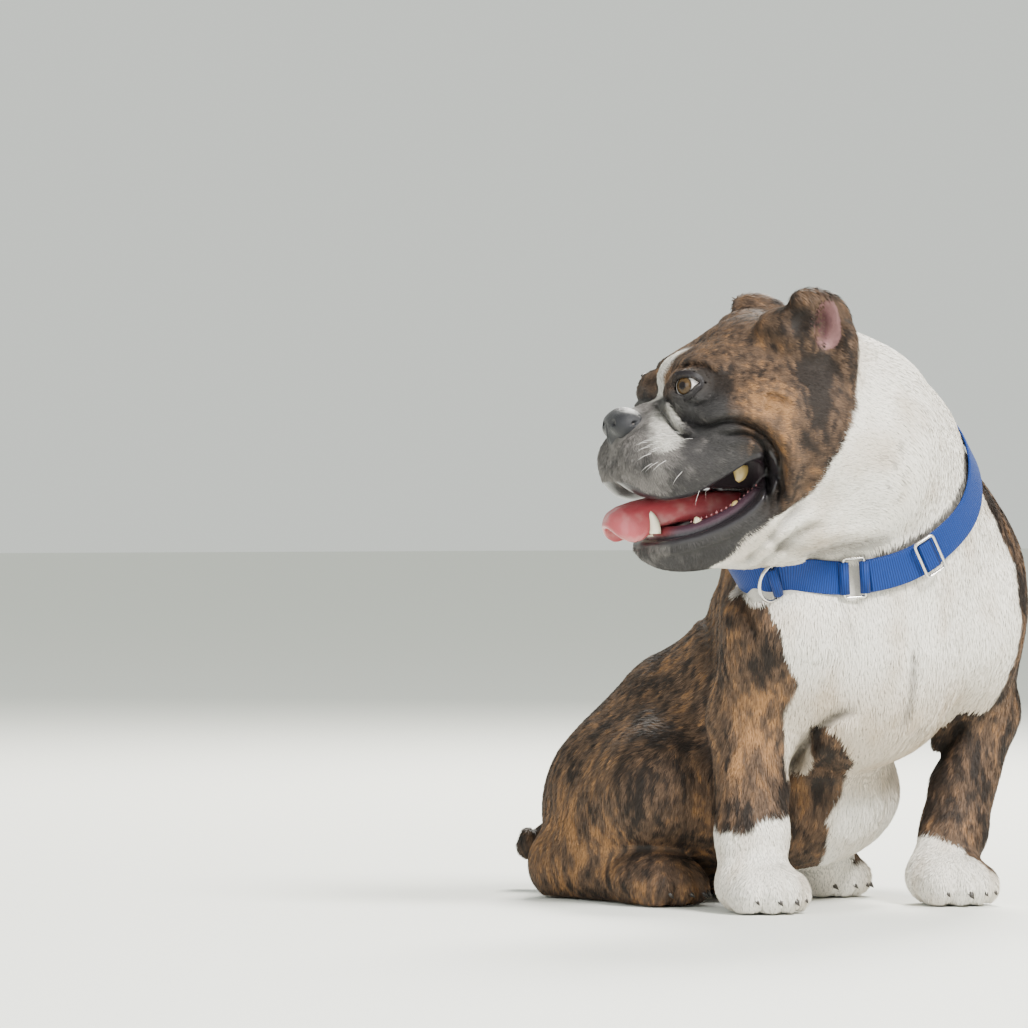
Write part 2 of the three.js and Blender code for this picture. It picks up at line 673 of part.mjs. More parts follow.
// A flat frame of wire: a rectangle with round corners
function frame(length, width, corner) {
  const shape = roundedOutline(length, width, corner);
  shape.holes.push(roundedOutline(length - 2 * WIRE, width - 2 * WIRE, Math.max(corner - WIRE, 0.4)));
  const geometry = new THREE.ExtrudeGeometry(shape, { depth: WIRE, bevelEnabled: false, curveSegments: 3 });
  return geometry.translate(0, 0, -WIRE / 2);
}

// A half round ring with its straight bar across the strap, standing out from it
function halfRing({ width, reach, turn }) {
  const outline = (half, low, high) => {
    const shape = new THREE.Shape();
    shape.moveTo(-half, low).lineTo(half, low).lineTo(half, high - half * 0.9);
    shape.absellipse(0, high - half * 0.9, half, half * 0.9, 0, Math.PI, false);
    return shape;
  };
  const shape = outline(width / 2, -WIRE / 2, reach);
  shape.holes.push(outline(width / 2 - WIRE, WIRE / 2, reach - WIRE));
  const geometry = new THREE.ExtrudeGeometry(shape, { depth: WIRE, bevelEnabled: false, curveSegments: 7 });
  const axes = [[0, 1, 0], [0, 0, 1], [1, 0, 0]].map((v) => new THREE.Vector3(...v));
  const upright = new THREE.Matrix4().makeBasis(...axes);
  return geometry.translate(0, 0, -WIRE / 2).applyMatrix4(upright).rotateY(radians(turn));
}

// Webbing folded round a bar that lies across the strap
function fold(distance, height, ahead = 0) {
  const shape = new THREE.Shape().absarc(0, 0, LOOP.outer, 0, 2 * Math.PI);
  shape.holes.push(new THREE.Path().absarc(0, 0, LOOP.inner, 0, 2 * Math.PI));
  const width = STRAP.width - 1.2;
  const geometry = new THREE.ExtrudeGeometry(shape, { depth: width, bevelEnabled: false, curveSegments: 6 });
  return onStrap(geometry.translate(0, 0, -width / 2).rotateX(Math.PI / 2).translate(ahead, 0, 0), distance, height);
}

// The nodes

const onSide = ([x, y, z], s) => [s * x, y, z];
const eyeBalls = (radius) => [1, -1].map((s) => headBall(onSide(EYE.at, s), Array(3).fill(radius), 14));
const eyes = eyeBalls(EYE.radius);
const sockets = eyeBalls(EYE.radius + GAP);

function noseSeat(grow) {
  const [across, high] = [NOSE.size[0], NOSE.size[2]].map((v) => v + NOSE.rim + grow);
  const shape = new THREE.CylinderGeometry(1, 1, NOSE.depth, 24).scale(across, 1, high);
  return new Solid(shape.translate(0, NOSE.back - NOSE.depth / 2 + grow, NOSE.at[2]).applyMatrix4(headMatrix));
}

const nostrils = [1, -1].map((s) => headBall(onSide(NOSTRIL.at, s), NOSTRIL.size, 10));

// Room round the collar: a groove for the strap and a seat for each metal fitting
const ROOM = { strap: 2.4, along: 2, wide: 1.6, under: 1.2 };
function seat(length, width, distance) {
  const shape = new THREE.BoxGeometry(length + ROOM.along, width + ROOM.wide, SEAT);
  return onStrap(shape, distance, SEAT / 2 - ROOM.under);
}

const groove = strip(STRAP.width + ROOM.strap, [-0.6, 16], [0, STRAP_LENGTH])
  .plus(seat(RING.length + 6, RING.width, 0), seat(SLIDER.length, SLIDER.width, SLIDER.along),
    seat(D_RING.reach, D_RING.width, D_RING.along - 4));
const { lower, upper } = teeth();

const headBox = [[-240, -300, 240], [10, -80, 490]];
const tongueBody = net(tongue, [[-240, -240, 258], [-54, -124, 338]], CELL.tongue);
const tongueSeat = grown(tongueBody, 2 * GAP);
const jawPrism = headPrism(JAW_LINE, 120);
const jawSeat = headPrism(JAW_LINE.map(([y, z]) => [y > -40 ? y + JAW_GAP : y, z > -92 ? z + JAW_GAP : z]), 120);

function earCutter(s, grow) {
  const matrix = new THREE.Matrix4().makeRotationY(radians(s * 38)).setPosition(s * 62, 8, 62);
  const size = [80 + 2 * grow, 110 + 2 * grow, 60 + 2 * grow];
  const lift = new THREE.Matrix4().makeTranslation(0, 0, 18);
  return block(size, headMatrix.clone().multiply(matrix).multiply(lift));
}

const openings = [lidOpening(1, 0), lidOpening(-1, 0)];
const muzzleBack = [MUZZLE_PLANE[0], MUZZLE_PLANE[1].map((v) => -v)];
const skull = net(flesh, headBox, CELL.skull)
  .within(halfSpace(...NAPE), halfSpace(...THROAT_PLANE), halfSpace(shifted(...muzzleBack, GAP), muzzleBack[1]))
  .minus(jawSeat, tongueSeat, ...sockets, ...openings, earCutter(1, GAP), earCutter(-1, GAP), groove);
const muzzle = net(flesh, headBox, CELL.muzzle).within(halfSpace(...MUZZLE_PLANE))
  .minus(jawSeat, tongueSeat, ...sockets, ...openings, noseSeat(GAP));
const chin = net(flesh, headBox, CELL.jaw).within(jawPrism).minus(tongueSeat, groove);
const nose = net(flesh, [[-240, -215, 330], [-170, -110, 410]], CELL.nose).within(noseSeat(0)).minus(...nostrils);
const earBoxes = [[[-150, -290, 380], [-20, -215, 485]], [[-140, -175, 380], [-10, -90, 485]]];
const earSolids = [1, -1].map((s, i) => net(dog, earBoxes[i], CELL.ear).within(earCutter(s, 0)));

const headSide = [NAPE, THROAT_PLANE].map(([point, normal]) => halfSpace(shifted(point, normal, -GAP), normal));
const neckSolid = net(flesh, [[-190, -300, 180], [180, 30, 490]], CELL.neck)
  .within(halfSpace(...COLLAR_PLANE)).minus(headSide[0].within(headSide[1]), groove, jawSeat);
const bodyBox = [[-230, -290, -30], [230, 230, 360]];
const collarDown = [COLLAR_PLANE[0], COLLAR_PLANE[1].map((v) => -v)];
const tailBody = net(tail, [[-130, 120, -20], [0, 240, 100]], CELL.tail).within(FLOOR);
const tailSeat = grown(tailBody, 2 * GAP);
const torso = net(flesh, bodyBox, CELL.body)
  .within(FLOOR, halfSpace(shifted(...collarDown, GAP), collarDown[1]))
  .minus(legCutter('right', GAP), legCutter('left', GAP), haunchCutter('right', GAP), haunchCutter('left', GAP),
    groove, tailSeat, jawSeat);
const forelegSolids = ['right', 'left']
  .map((side) => net(flesh, bodyBox, CELL.foreleg).within(FLOOR, legCutter(side, 0)));
const hindlegSolids = ['right', 'left'].map((side) => net(flesh, bodyBox, CELL.hindleg)
  .within(FLOOR, haunchCutter(side, 0)).minus(legCutter(side, GAP), tailSeat));
const bar = (RING.length - WIRE) / 2;
const strapEnd = bar + LOOP.outer - 1.2;
const dRingHeight = STRAP.thickness + LOOP.outer - 1;
const strapSolid = strip(STRAP.width, [0, STRAP.thickness], [strapEnd, STRAP_LENGTH - strapEnd])
  .plus(fold(0, LOOP.height, bar), fold(0, LOOP.height, -bar), fold(D_RING.along, dRingHeight));
const tailLow = STRAP.thickness + GAP;
const tailHigh = tailLow + STRAP.thickness;
const sliderHeight = tailHigh + GAP + WIRE / 2 + 1.4;
const insideSlider = SLIDER.length / 2 - WIRE - GAP;
const strapTail = strip(STRAP.width - 1.4, [tailLow, tailHigh], [bar + LOOP.outer + 2, SLIDER.along + insideSlider])
  .plus(strip(STRAP.width - 3, [tailHigh - 0.6, sliderHeight + WIRE / 2 + 0.6],
    [SLIDER.along - insideSlider + 1.8, SLIDER.along + insideSlider - 1.8]));
const ring = onStrap(frame(RING.length, RING.width, RING.corner), 0, LOOP.height);
const slider = onStrap(frame(SLIDER.length, SLIDER.width, SLIDER.corner), SLIDER.along, sliderHeight);
const dRing = onStrap(halfRing(D_RING), D_RING.along, dRingHeight);

// Finishes

const coat = { color: 0x5a4334, roughness: 0.8, metalness: 0 };
const white = { color: 0xe6e0d4, roughness: 0.85, metalness: 0 };
const pink = { color: 0xb8656a, roughness: 0.4, metalness: 0 };
const dark = { color: 0x2b2727, roughness: 0.5, metalness: 0 };
const glossy = { color: 0x3a2a1c, roughness: 0.1, metalness: 0 };
const webbing = { color: 0x1d4fb0, roughness: 0.7, metalness: 0 };
const steel = { color: 0xb9b9b4, roughness: 0.3, metalness: 1 };

const group = new THREE.Group();
function node(name, solid, finish) {
  const mesh = new THREE.Mesh(solid.largest().geometry(), new THREE.MeshStandardMaterial(finish));
  mesh.name = name;
  group.add(mesh);
}

node('head', skull, coat);
node('muzzle', muzzle.largest().plus(...upper).minus(tongueSeat), dark);
node('lower_jaw', chin.largest().plus(...lower).minus(tongueSeat), dark);
node('nose', nose, dark);
node('ear_left', earSolids[0], coat);
node('ear_right', earSolids[1], coat);
node('eye_left', eyes[0], glossy);
node('eye_right', eyes[1], glossy);
node('tongue', tongueBody, pink);
node('neck', neckSolid, white);
node('torso', torso, coat);
node('foreleg_right', forelegSolids[0], coat);
node('foreleg_left', forelegSolids[1], coat);
node('hindleg_right', hindlegSolids[0], coat);
node('hindleg_left', hindlegSolids[1], coat);
node('tail', tailBody, coat);
node('collar_strap', strapSolid, webbing);
node('collar_strap_tail', strapTail, webbing);
node('collar_ring', ring, steel);
node('collar_slider', slider, steel);
node('collar_d_ring', dRing, steel);

// The origin is under the middle of the dog, on the floor
const extent = new THREE.Box3().setFromObject(group);
const middle = extent.getCenter(new THREE.Vector3());
group.position.set(-middle.x, -middle.y, -extent.min.z);

export default group;
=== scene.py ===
"""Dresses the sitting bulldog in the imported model's frame: skin, coat, eyes, mouth and collar."""
import logging
import math
from collections.abc import Callable, Sequence
from dataclasses import dataclass
from enum import IntEnum
from typing import ClassVar

import bmesh
import bpy
import numpy as np
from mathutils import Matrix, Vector


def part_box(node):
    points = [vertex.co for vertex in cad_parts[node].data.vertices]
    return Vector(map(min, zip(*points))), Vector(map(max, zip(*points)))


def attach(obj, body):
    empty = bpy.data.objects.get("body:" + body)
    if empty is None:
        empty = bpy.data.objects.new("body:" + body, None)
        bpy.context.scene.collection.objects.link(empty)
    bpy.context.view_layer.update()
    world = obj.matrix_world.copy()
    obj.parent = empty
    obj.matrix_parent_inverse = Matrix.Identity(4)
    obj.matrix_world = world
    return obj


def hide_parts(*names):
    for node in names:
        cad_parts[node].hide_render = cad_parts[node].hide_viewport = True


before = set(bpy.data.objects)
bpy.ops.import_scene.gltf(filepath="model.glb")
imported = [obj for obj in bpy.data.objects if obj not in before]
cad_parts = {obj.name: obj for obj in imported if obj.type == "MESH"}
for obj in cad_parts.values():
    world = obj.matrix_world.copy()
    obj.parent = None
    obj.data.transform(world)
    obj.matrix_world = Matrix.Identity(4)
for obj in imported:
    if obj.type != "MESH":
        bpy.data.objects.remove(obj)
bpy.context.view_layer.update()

Array = np.ndarray
Field = Callable[[Array], Array]
Point = tuple[float, float, float]
LOG = logging.getLogger("bulldog")
MM = 0.001

# The form's own frame is in millimetres: the chest faces -Y, +X is the dog's left, the floor is z = 0.
HEAD_AT = np.array([-85.0, -190.0, 386.0])
HEAD_TURN = 103.0
HIPS_AT = np.array([-30.0, 60.0, 0.0])
HIPS_TURN = 18.0
EYE_AT = (41.0, -86.0, 10.0)
EYE_RADIUS = 12.0
EYE_GAZE = (0.6, -0.8, 0.0)
NOSE_AT = (0.0, -126.0, -18.0)
NOSE_SIZE = (21.0, 13.0, 13.0)
# The camera's view as cosine and sine: across the head's own frame, and across the dog's
HEAD_SEEN = (0.956, 0.292)
BODY_SEEN = (0.866, 0.5)
# Where a paw's toes stand, in steps of its spread
TOES = (-1.5, -0.5, 0.5, 1.5)


class Side(IntEnum):
    """A side of the dog, with the sign of its x."""

    RIGHT = -1
    LEFT = 1

    @property
    def label(self) -> str:
        """The side's name as it stands in the names of pieces."""
        return self.name.lower()


def turn_z(p: Array, degrees: float) -> Array:
    """Turns points about the upright axis.

    Args:
        p: points.
        degrees: how far they turn.

    Returns:
        The turned points.
    """
    c, s = math.cos(math.radians(degrees)), math.sin(math.radians(degrees))
    out = np.array(p, np.float32, copy=True)
    out[..., 0] = p[..., 0] * c - p[..., 1] * s
    out[..., 1] = p[..., 0] * s + p[..., 1] * c
    return out


def head_to_dog(p: Array) -> Array:
    """Moves points from the head's own frame to the dog's."""
    return turn_z(np.asarray(p, float), -HEAD_TURN) + HEAD_AT


def dog_to_head(p: Array) -> Array:
    """Moves points from the dog's frame to the head's."""
    return turn_z(p - HEAD_AT.astype(np.float32), HEAD_TURN)


def hips_to_dog(p: Array) -> Array:
    """Moves points from the hips' frame to the dog's."""
    return turn_z(np.asarray(p, float), HIPS_TURN) + HIPS_AT


def mirrored(p: Array) -> Array:
    """The same points, all on the left of the middle plane.

    Args:
        p: points.

    Returns:
        A copy with x positive.
    """
    out = p.copy()
    out[:, 0] = np.abs(out[:, 0])
    return out


def half_head(p: Array) -> Array:
    """Points of the dog's frame in the head's, all on its left."""
    return mirrored(dog_to_head(p.astype(np.float32)))


def head_seen(m: Array) -> Array:
    """Points of the head's left half as the camera sees them: back and up."""
    return np.stack([HEAD_SEEN[0] * m[:, 1] + HEAD_SEEN[1] * m[:, 0], m[:, 2]], 1)


def body_seen(p: Array) -> Array:
    """Points of the dog's frame as the camera sees them: across and up."""
    return np.stack([BODY_SEEN[0] * p[:, 0] - BODY_SEEN[1] * p[:, 1], p[:, 2]], 1)


def nearness(p: Array) -> Array:
    """How far points of the dog's frame stand out towards the camera."""
    return -BODY_SEEN[1] * p[:, 0] - BODY_SEEN[0] * p[:, 1]


def away(p: Array, place: Array | Sequence[float] | float) -> Array:
    """Distances of points from a place."""
    return np.linalg.norm(p - place, axis=-1)


def stretched(p: Array, place: Sequence[float], scale: Sequence[float]) -> Array:
    """Distances of points from a place, with each axis scaled."""
    return np.linalg.norm((p - place) * scale, axis=1)


def unit(v: Array) -> Array:
    """Vectors scaled to length one."""
    v = np.asarray(v, float)
    return v / np.maximum(np.linalg.norm(v, axis=-1, keepdims=True), 1e-9)


def frame_shift() -> Array:
    """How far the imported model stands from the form's own frame, in millimetres, read from an eye."""
    low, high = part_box("eye_left")
    return (np.array(low) + np.array(high)) / 2 / MM - head_to_dog(np.array(EYE_AT))


SHIFT = frame_shift()


def placed(p: Array) -> Array:
    """Points of the form, in metres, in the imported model's frame."""
    return (np.asarray(p, float) + SHIFT) * MM


# Fields: functions of points, negative inside a form and about the distance to it outside.

def blend(a: Array, b: Array, k: float) -> Array:
    """Joins two fields, rounded over k."""
    h = np.clip(0.5 + 0.5 * (b - a) / k, 0, 1)
    return b + (a - b) * h - k * h * (1 - h)


def carve(a: Array, b: Array, k: float) -> Array:
    """Takes b out of a, the edge rounded over k."""
    return -blend(-a, b, k)


def cone(a: Sequence[float], b: Sequence[float]) -> Field:
    """A cone with round ends, from one centre and radius to another.

    Args:
        a: centre and radius of one end.
        b: centre and radius of the other.

    Returns:
        The cone's field.
    """
    start, end = np.array(a[:3], np.float32), np.array(b[:3], np.float32)
    span = end - start
    length = float(span @ span)

    def value(p: Array) -> Array:
        """Distance to the cone's side."""
        q = p - start
        t = np.clip(q @ span / length, 0, 1)
        q = q - t[:, None] * span
        return np.sqrt(np.einsum("ij,ij->i", q, q)) - (a[3] + t * (b[3] - a[3]))
    return value


def egg(at: Sequence[float], size: Sequence[float], tilt: float = 0, roll: float = 0, turn: float = 0) -> Field:
    """An egg shape with three half sizes, tilted about X, rolled about Y and turned about Z.

    Args:
        at: its middle.
        size: its half sizes.
        tilt: degrees about X.
        roll: degrees about Y.
        turn: degrees about Z.

    Returns:
        The egg's field.
    """
    t, r, w = math.radians(tilt), math.radians(roll), math.radians(turn)
    about_x = np.array([[1, 0, 0], [0, math.cos(t), -math.sin(t)], [0, math.sin(t), math.cos(t)]])
    about_y = np.array([[math.cos(r), 0, math.sin(r)], [0, 1, 0], [-math.sin(r), 0, math.cos(r)]])
    about_z = np.array([[math.cos(w), -math.sin(w), 0], [math.sin(w), math.cos(w), 0], [0, 0, 1]])
    axes = (about_z @ about_y @ about_x).astype(np.float32)
    centre, half = np.array(at, np.float32), np.array(size, np.float32)

    def value(p: Array) -> Array:
        """Distance to the egg, about."""
        q = (p - centre) @ axes / half
        k0 = np.sqrt(np.einsum("ij,ij->i", q, q)) + 1e-6
        q /= half
        return k0 * (k0 - 1) / (np.sqrt(np.einsum("ij,ij->i", q, q)) + 1e-9)
    return value


def smooth_line(points: Sequence[Point], per_span: int, closed: bool = False) -> Array:
    """A smooth line through points, with even steps between each pair.

    Args:
        points: what the line passes.
        per_span: steps between two of them.
        closed: whether it returns.

    Returns:
        The line's points.
    """
    p = np.array(points, float)
    if closed:
        p = np.vstack([p[-1], p, p[0], p[1]])
    else:
        p = np.vstack([2 * p[0] - p[1], p, 2 * p[-1] - p[-2]])
    gaps = np.maximum(np.linalg.norm(np.diff(p, axis=0), axis=1) ** 0.5, 1e-4)[:, None]
    out = []
    for i in range(1, len(p) - 2):
        d0, d1, d2 = gaps[i - 1], gaps[i], gaps[i + 1]
        m1 = ((p[i] - p[i - 1]) / d0 - (p[i + 1] - p[i - 1]) / (d0 + d1) + (p[i + 1] - p[i]) / d1) * d1
        m2 = ((p[i + 1] - p[i]) / d1 - (p[i + 2] - p[i]) / (d1 + d2) + (p[i + 2] - p[i + 1]) / d2) * d1
        t = (np.arange(per_span) / per_span)[:, None]
        out.append(p[i] + m1 * t + (3 * (p[i + 1] - p[i]) - 2 * m1 - m2) * t ** 2
                   + (2 * (p[i] - p[i + 1]) + m1 + m2) * t ** 3)
    if not closed:
        out.append(p[-2:-1])
    return np.concatenate(out)


def even_line(line: Array, count: int, closed: bool = False) -> Array:
    """The same line with a number of points at even distances.

    Args:
        line: the line's points.
        count: how many are wanted.
        closed: whether it returns.

    Returns:
        The new points.
    """
    full = np.vstack([line, line[:1]]) if closed else line
    run = np.concatenate([[0], np.cumsum(np.linalg.norm(np.diff(full, axis=0), axis=1))])
    at = np.linspace(0, run[-1], count + 1)[:-1] if closed else np.linspace(0, run[-1], count)
    return np.stack([np.interp(at, run, full[:, k]) for k in range(full.shape[1])], 1)


def line_distance(p: Array, line: Array, reach: float = 60) -> tuple[Array, Array]:
    """Distance to a line, and the share of its length at the nearest place.

    Args:
        p: points.
        line: the line's own points.
        reach: past this far from the line's box the distance is only a lower bound.

    Returns:
        Two arrays, one value for each point.
    """
    low, high = line.min(0), line.max(0)
    outside = np.linalg.norm(np.maximum(np.maximum(low - p, p - high), 0), axis=1)
    best = outside + reach
    along = np.zeros(len(p), np.float32)
    near = outside < reach
    q0 = p[near]
    if len(q0):
        d2 = np.full(len(q0), 1e9, np.float32)
        t_best = np.zeros(len(q0), np.float32)
        for i in range(len(line) - 1):
            a = line[i].astype(np.float32)
            span = (line[i + 1] - line[i]).astype(np.float32)
            q = q0 - a
            t = np.clip(q @ span / (span @ span + 1e-9), 0, 1)
            q = q - t[:, None] * span
            d = np.einsum("ij,ij->i", q, q)
            closer = d < d2
            d2 = np.where(closer, d, d2)
            t_best = np.where(closer, (i + t) / (len(line) - 1), t_best)
        best[near] = np.sqrt(d2)
        along[near] = t_best
    return best, along


def tube(points: Sequence[Point], radius: float) -> Field:
    """A round tube along a smooth line."""
    line = smooth_line(points, 3)
    return lambda p: line_distance(p, line, 30)[0] - radius


def blended(parts: Sequence[tuple[Field, float]]) -> Field:
    """Joins fields in their order, each rounded over its own length.

    Args:
        parts: pairs of a field and its rounding.

    Returns:
        The joined field.
    """
    def value(p: Array) -> Array:
        """The joined field."""
        total = parts[0][0](p)
        for shape, k in parts[1:]:
            total = blend(total, shape(p), k)
        return total
    return value


BALL_MARGIN = 40


def bounded(shape: Field, centre: Sequence[float], radius: float) -> Field:
    """A field that is only worked out within a ball, and is the distance to the ball outside.

    Args:
        shape: the field.
        centre: the ball's middle.
        radius: the ball's radius.

    Returns:
        The bounded field.
    """
    middle = np.array(centre, np.float32)

    def value(p: Array) -> Array:
        """The field near the ball."""
        far = away(p, middle)
        out = far - radius + BALL_MARGIN
        near = far < radius
        if near.any():
            out[near] = shape(p[near])
        return out
    return value


def slope(shape: Field, p: Array, step: float = 0.6) -> Array:
    """Slope of a field at points.

    Args:
        shape: the field.
        p: points.
        step: length over which it is read.

    Returns:
        The field's rise along each axis.
    """
    out = np.empty(p.shape, np.float32)
    for axis in range(3):
        ahead, behind = p.copy(), p.copy()
        ahead[:, axis] += step
        behind[:, axis] -= step
        out[:, axis] = (shape(ahead) - shape(behind)) / (2 * step)
    return out


def settled(shape: Field, p: Array, level: float = 0, rounds: int = 2, limit: float = 3.0, step: float = 0.6) -> Array:
    """Moves points onto a field's surface.

    Args:
        shape: the field.
        p: points near its surface.
        level: the value that they end at.
        rounds: how often the step is repeated.
        limit: the furthest that a point may move.
        step: length over which the slope is read.

    Returns:
        The moved points.
    """
    start, p = p, p.astype(np.float32)
    for _ in range(rounds):
        g = slope(shape, p, step)
        size = np.maximum(np.einsum("ij,ij->i", g, g), 0.05)
        p = p - g * ((shape(p) - level) / size)[:, None]
    moved = p - start
    far = np.linalg.norm(moved, axis=1, keepdims=True)
    return start + moved * np.minimum(1, limit / np.maximum(far, 1e-6))


@dataclass(frozen=True)
class Paw:
    """Sizes of a paw: its pad and four toes."""

    size: Point = (31, 38, 24)
    forward: float = 10
    toe: Point = (10.5, 19, 16)
    spread: float = 14.5
    reach: tuple[float, float] = (34, 25)

    def parts(self, at: Sequence[float], place: Callable[[Array], Array], turn: float) -> list[tuple[Field, float]]:
        """Fields of the pad and toes.

        Args:
            at: the ankle's place in the leg's own frame.
            place: moves a point of that frame to the dog's.
            turn: how far that frame is turned.

        Returns:
            Pairs of a field and its rounding.
        """
        x, y = at[0], at[1]
        out = [(egg(place(np.array([x, y - self.forward, 20])), self.size, turn=turn), 10.0)]
        for k in TOES:
            reach = self.reach[0 if abs(k) < 1 else 1]
            centre = place(np.array([x + k * self.spread, y - reach, 15]))
            out.append((egg(centre, self.toe, turn=turn), 5.0))
        return out


@dataclass(frozen=True)
class Foreleg:
    """A foreleg's masses, each a centre and a radius, with the shoulder blade over it."""

    blade: tuple[Point, Point]
    point: tuple[float, ...]
    elbow: tuple[float, ...]
    wrist: tuple[float, ...]
    paw: tuple[float, ...]

    def parts(self) -> list[tuple[Field, float]]:
        """Fields of the blade and the leg.

        Returns:
            Pairs of a field and its rounding.
        """
        leg = blended([(cone(self.point, self.elbow), 0), (cone(self.elbow, self.wrist), 14),
                       (cone(self.wrist, self.paw), 10)] + [(blended(Paw().parts(self.paw, lambda p: p, 0)), 10)])
        middle = (self.elbow[0], self.elbow[1], 120)
        return [(egg(*self.blade, tilt=12), 24), (bounded(leg, middle, 215), 24)]


@dataclass(frozen=True)
class Hindleg:
    """A hind leg's masses in the hips' frame, out to one side from the middle."""

    side: Side
    ankle: tuple[float, ...]
    hip: tuple[float, ...] = (55, 5, 89, 52)
    knee: tuple[float, ...] = (98, -74, 92, 44)
    hock: tuple[float, ...] = (79, 42, 26, 27)

    def place(self, p: Array) -> Array:
        """Moves a point from the leg's side of the hips' frame to the dog's."""
        return hips_to_dog(np.array([self.side * p[0], p[1], p[2]]))

    def parts(self) -> list[tuple[Field, float]]:
        """The field of the whole leg.

        Returns:
            One pair of a field and its rounding.
        """
        masses = (self.hip, self.knee, self.hock, self.ankle)
        hip, knee, hock, ankle = ((*self.place(np.array(m[:3])), m[3]) for m in masses)
        foot = blended(Paw().parts((self.ankle[0] + 2, self.ankle[1] - 8), self.place, HIPS_TURN))
        leg = blended([(cone(hip, knee), 0), (cone(knee, hock), 20), (cone(hock, ankle), 14), (foot, 10)])
        return [(bounded(leg, self.place(np.array([75, -25, 70])), 215), 26)]


FORELEGS = (
    Foreleg(blade=((-49, -136, 222), (38, 56, 73)), point=(-69, -165, 217, 47), elbow=(-75, -132, 147, 34),
            wrist=(-85, -147, 60, 28), paw=(-88, -152, 25, 26)),
    Foreleg(blade=((101, -133, 239), (60, 71, 85)), point=(100, -158, 214, 42), elbow=(138, -122, 148, 32),
            wrist=(110, -131, 58, 26), paw=(92, -140, 26, 25)),
)
HINDLEGS = (Hindleg(Side.RIGHT, ankle=(104, -58, 20, 22)), Hindleg(Side.LEFT, ankle=(66, -78, 20, 22)))


@dataclass(frozen=True)
class Head:
    """The head's masses in its own frame: x to its left, y back, z up, the same on both sides."""

    upper_lip: tuple[Point, ...] = ((1, -131, -51), (15, -129, -56), (31, -116, -64), (43, -104, -66), (51, -88, -63),
                                    (57, -70, -51), (61, -52, -39), (63, -37, -35), (65, -28, -41))
    lower_lip: tuple[Point, ...] = ((-5, -106, -109), (13, -105, -109), (30, -103, -108), (41, -94, -106),
                                    (49, -80, -102), (55, -64, -95), (60, -48, -85), (64, -34, -72), (66, -27, -56))
    mouth_top: tuple[tuple[float, float], ...] = ((-150, -60), (-139, -62), (-122, -74), (-106, -77), (-90, -73),
                                                  (-72, -61), (-54, -48), (-42, -43), (-34, -46), (-28, -56),
                                                  (-24, -80))
    mouth_low: tuple[tuple[float, float], ...] = ((-150, -103), (-118, -102), (-100, -100), (-84, -96), (-68, -90),
                                                  (-54, -82), (-42, -72), (-33, -62), (-26, -50), (-22, -40))
    gum: tuple[Point, ...] = ((-4, -104, -99), (14, -103, -99), (27, -97, -99), (35, -84, -97), (41, -68, -91),
                              (46, -52, -82), (50, -38, -70))
    palate: Point = (-66, 34, 44)

    def solid(self) -> Field:
        """The head before its mouth is opened.

        Returns:
            The field, for points on the left.
        """
        jaw = blended([
            (egg((0, -85, -113), (35, 27, 15)), 0), (cone((24, -84, -111, 14), (46, -34, -90, 20)), 10),
            (egg((0, -50, -106), (44, 46, 20)), 14), (egg((0, -4, -80), (62, 54, 42)), 24),
            (tube(self.lower_lip, 7), 8)])
        return blended([
            (egg((0, 2, 6), (65, 76, 62)), 0), (egg((0, -27, 27), (46, 42, 36)), 18),
            (egg((21, -56, 13), (33, 38, 31)), 14), (egg((0, -72, 17), (22, 27, 22)), 8),
            (egg((32, -89, 6), (17, 16, 18)), 8),
            (egg((50, -2, -26), (34, 56, 48)), 26), (egg((54, -44, -12), (27, 42, 27)), 20),
            (cone((0, -64, -28, 42), (0, -98, -36, 36)), 12), (cone((0, -88, -19, 17), (0, -118, -24, 16)), 10),
            (egg((25, -107, -45), (25, 31, 28)), 10), (egg((40, -84, -48), (27, 40, 27)), 14),
            (egg((54, -46, -44), (24, 36, 26)), 16), (tube(self.upper_lip, 8), 10),
            (egg((0, -122, -36), (16, 14, 16)), 6), (egg(NOSE_AT, NOSE_SIZE), 4),
            (jaw, 14), (cone((0, 0, -52, 56), (0, 54, -46, 62)), 26)])

    def mouth(self) -> Field:
        """The room between the lips, lower under the palate, positive outside.

        Returns:
            The room's field.
        """
        top, low = np.array(self.mouth_top).T, np.array(self.mouth_low).T
        height, inner, outer = self.palate

        def value(p: Array) -> Array:
            """How far points are outside the room."""
            roof = np.interp(p[:, 1], *top)
            middle = np.clip((outer - np.abs(p[:, 0])) / (outer - inner), 0, 1)
            roof = roof + (np.minimum(roof, height) - roof) * middle
            floor = np.interp(p[:, 1], *low)
            return (np.maximum(p[:, 2] - roof, floor - p[:, 2]) * 0.8).astype(np.float32)
        return value

    def form(self) -> Field:
        """The head with its mouth open.

        Returns:
            The head's field.
        """
        solid, mouth, gums = self.solid(), self.mouth(), tube(self.gum, 6.5)

        def value(p: Array) -> Array:
            """The head and its gums, less the mouth."""
            m = mirrored(p)
            return blend(carve(solid(m), mouth(p), 4), gums(m), 3)
        return value

    def ears(self) -> Field:
        """Both cropped ears, each with its cup and the small hollow before it.

        Returns:
            The ears' field.
        """
        shell = blended([(egg((60, 5, 54), (14, 30, 31), roll=12), 0), (egg((64, 25, 34), (12, 14, 27), roll=12), 8),
                         (egg((46, -12, 56), (18, 26, 16)), 14), (egg((66, -4, 76), (9, 15, 9)), 6)])
        cup, hollow = egg((80, 9, 57), (19, 9, 20), roll=12), egg((80, -15, 60), (15, 9, 11))

        def value(p: Array) -> Array:
            """The ears with their hollows."""
            m = mirrored(p)
            return carve(carve(shell(m), cup(m), 5), hollow(m), 5)
        return value


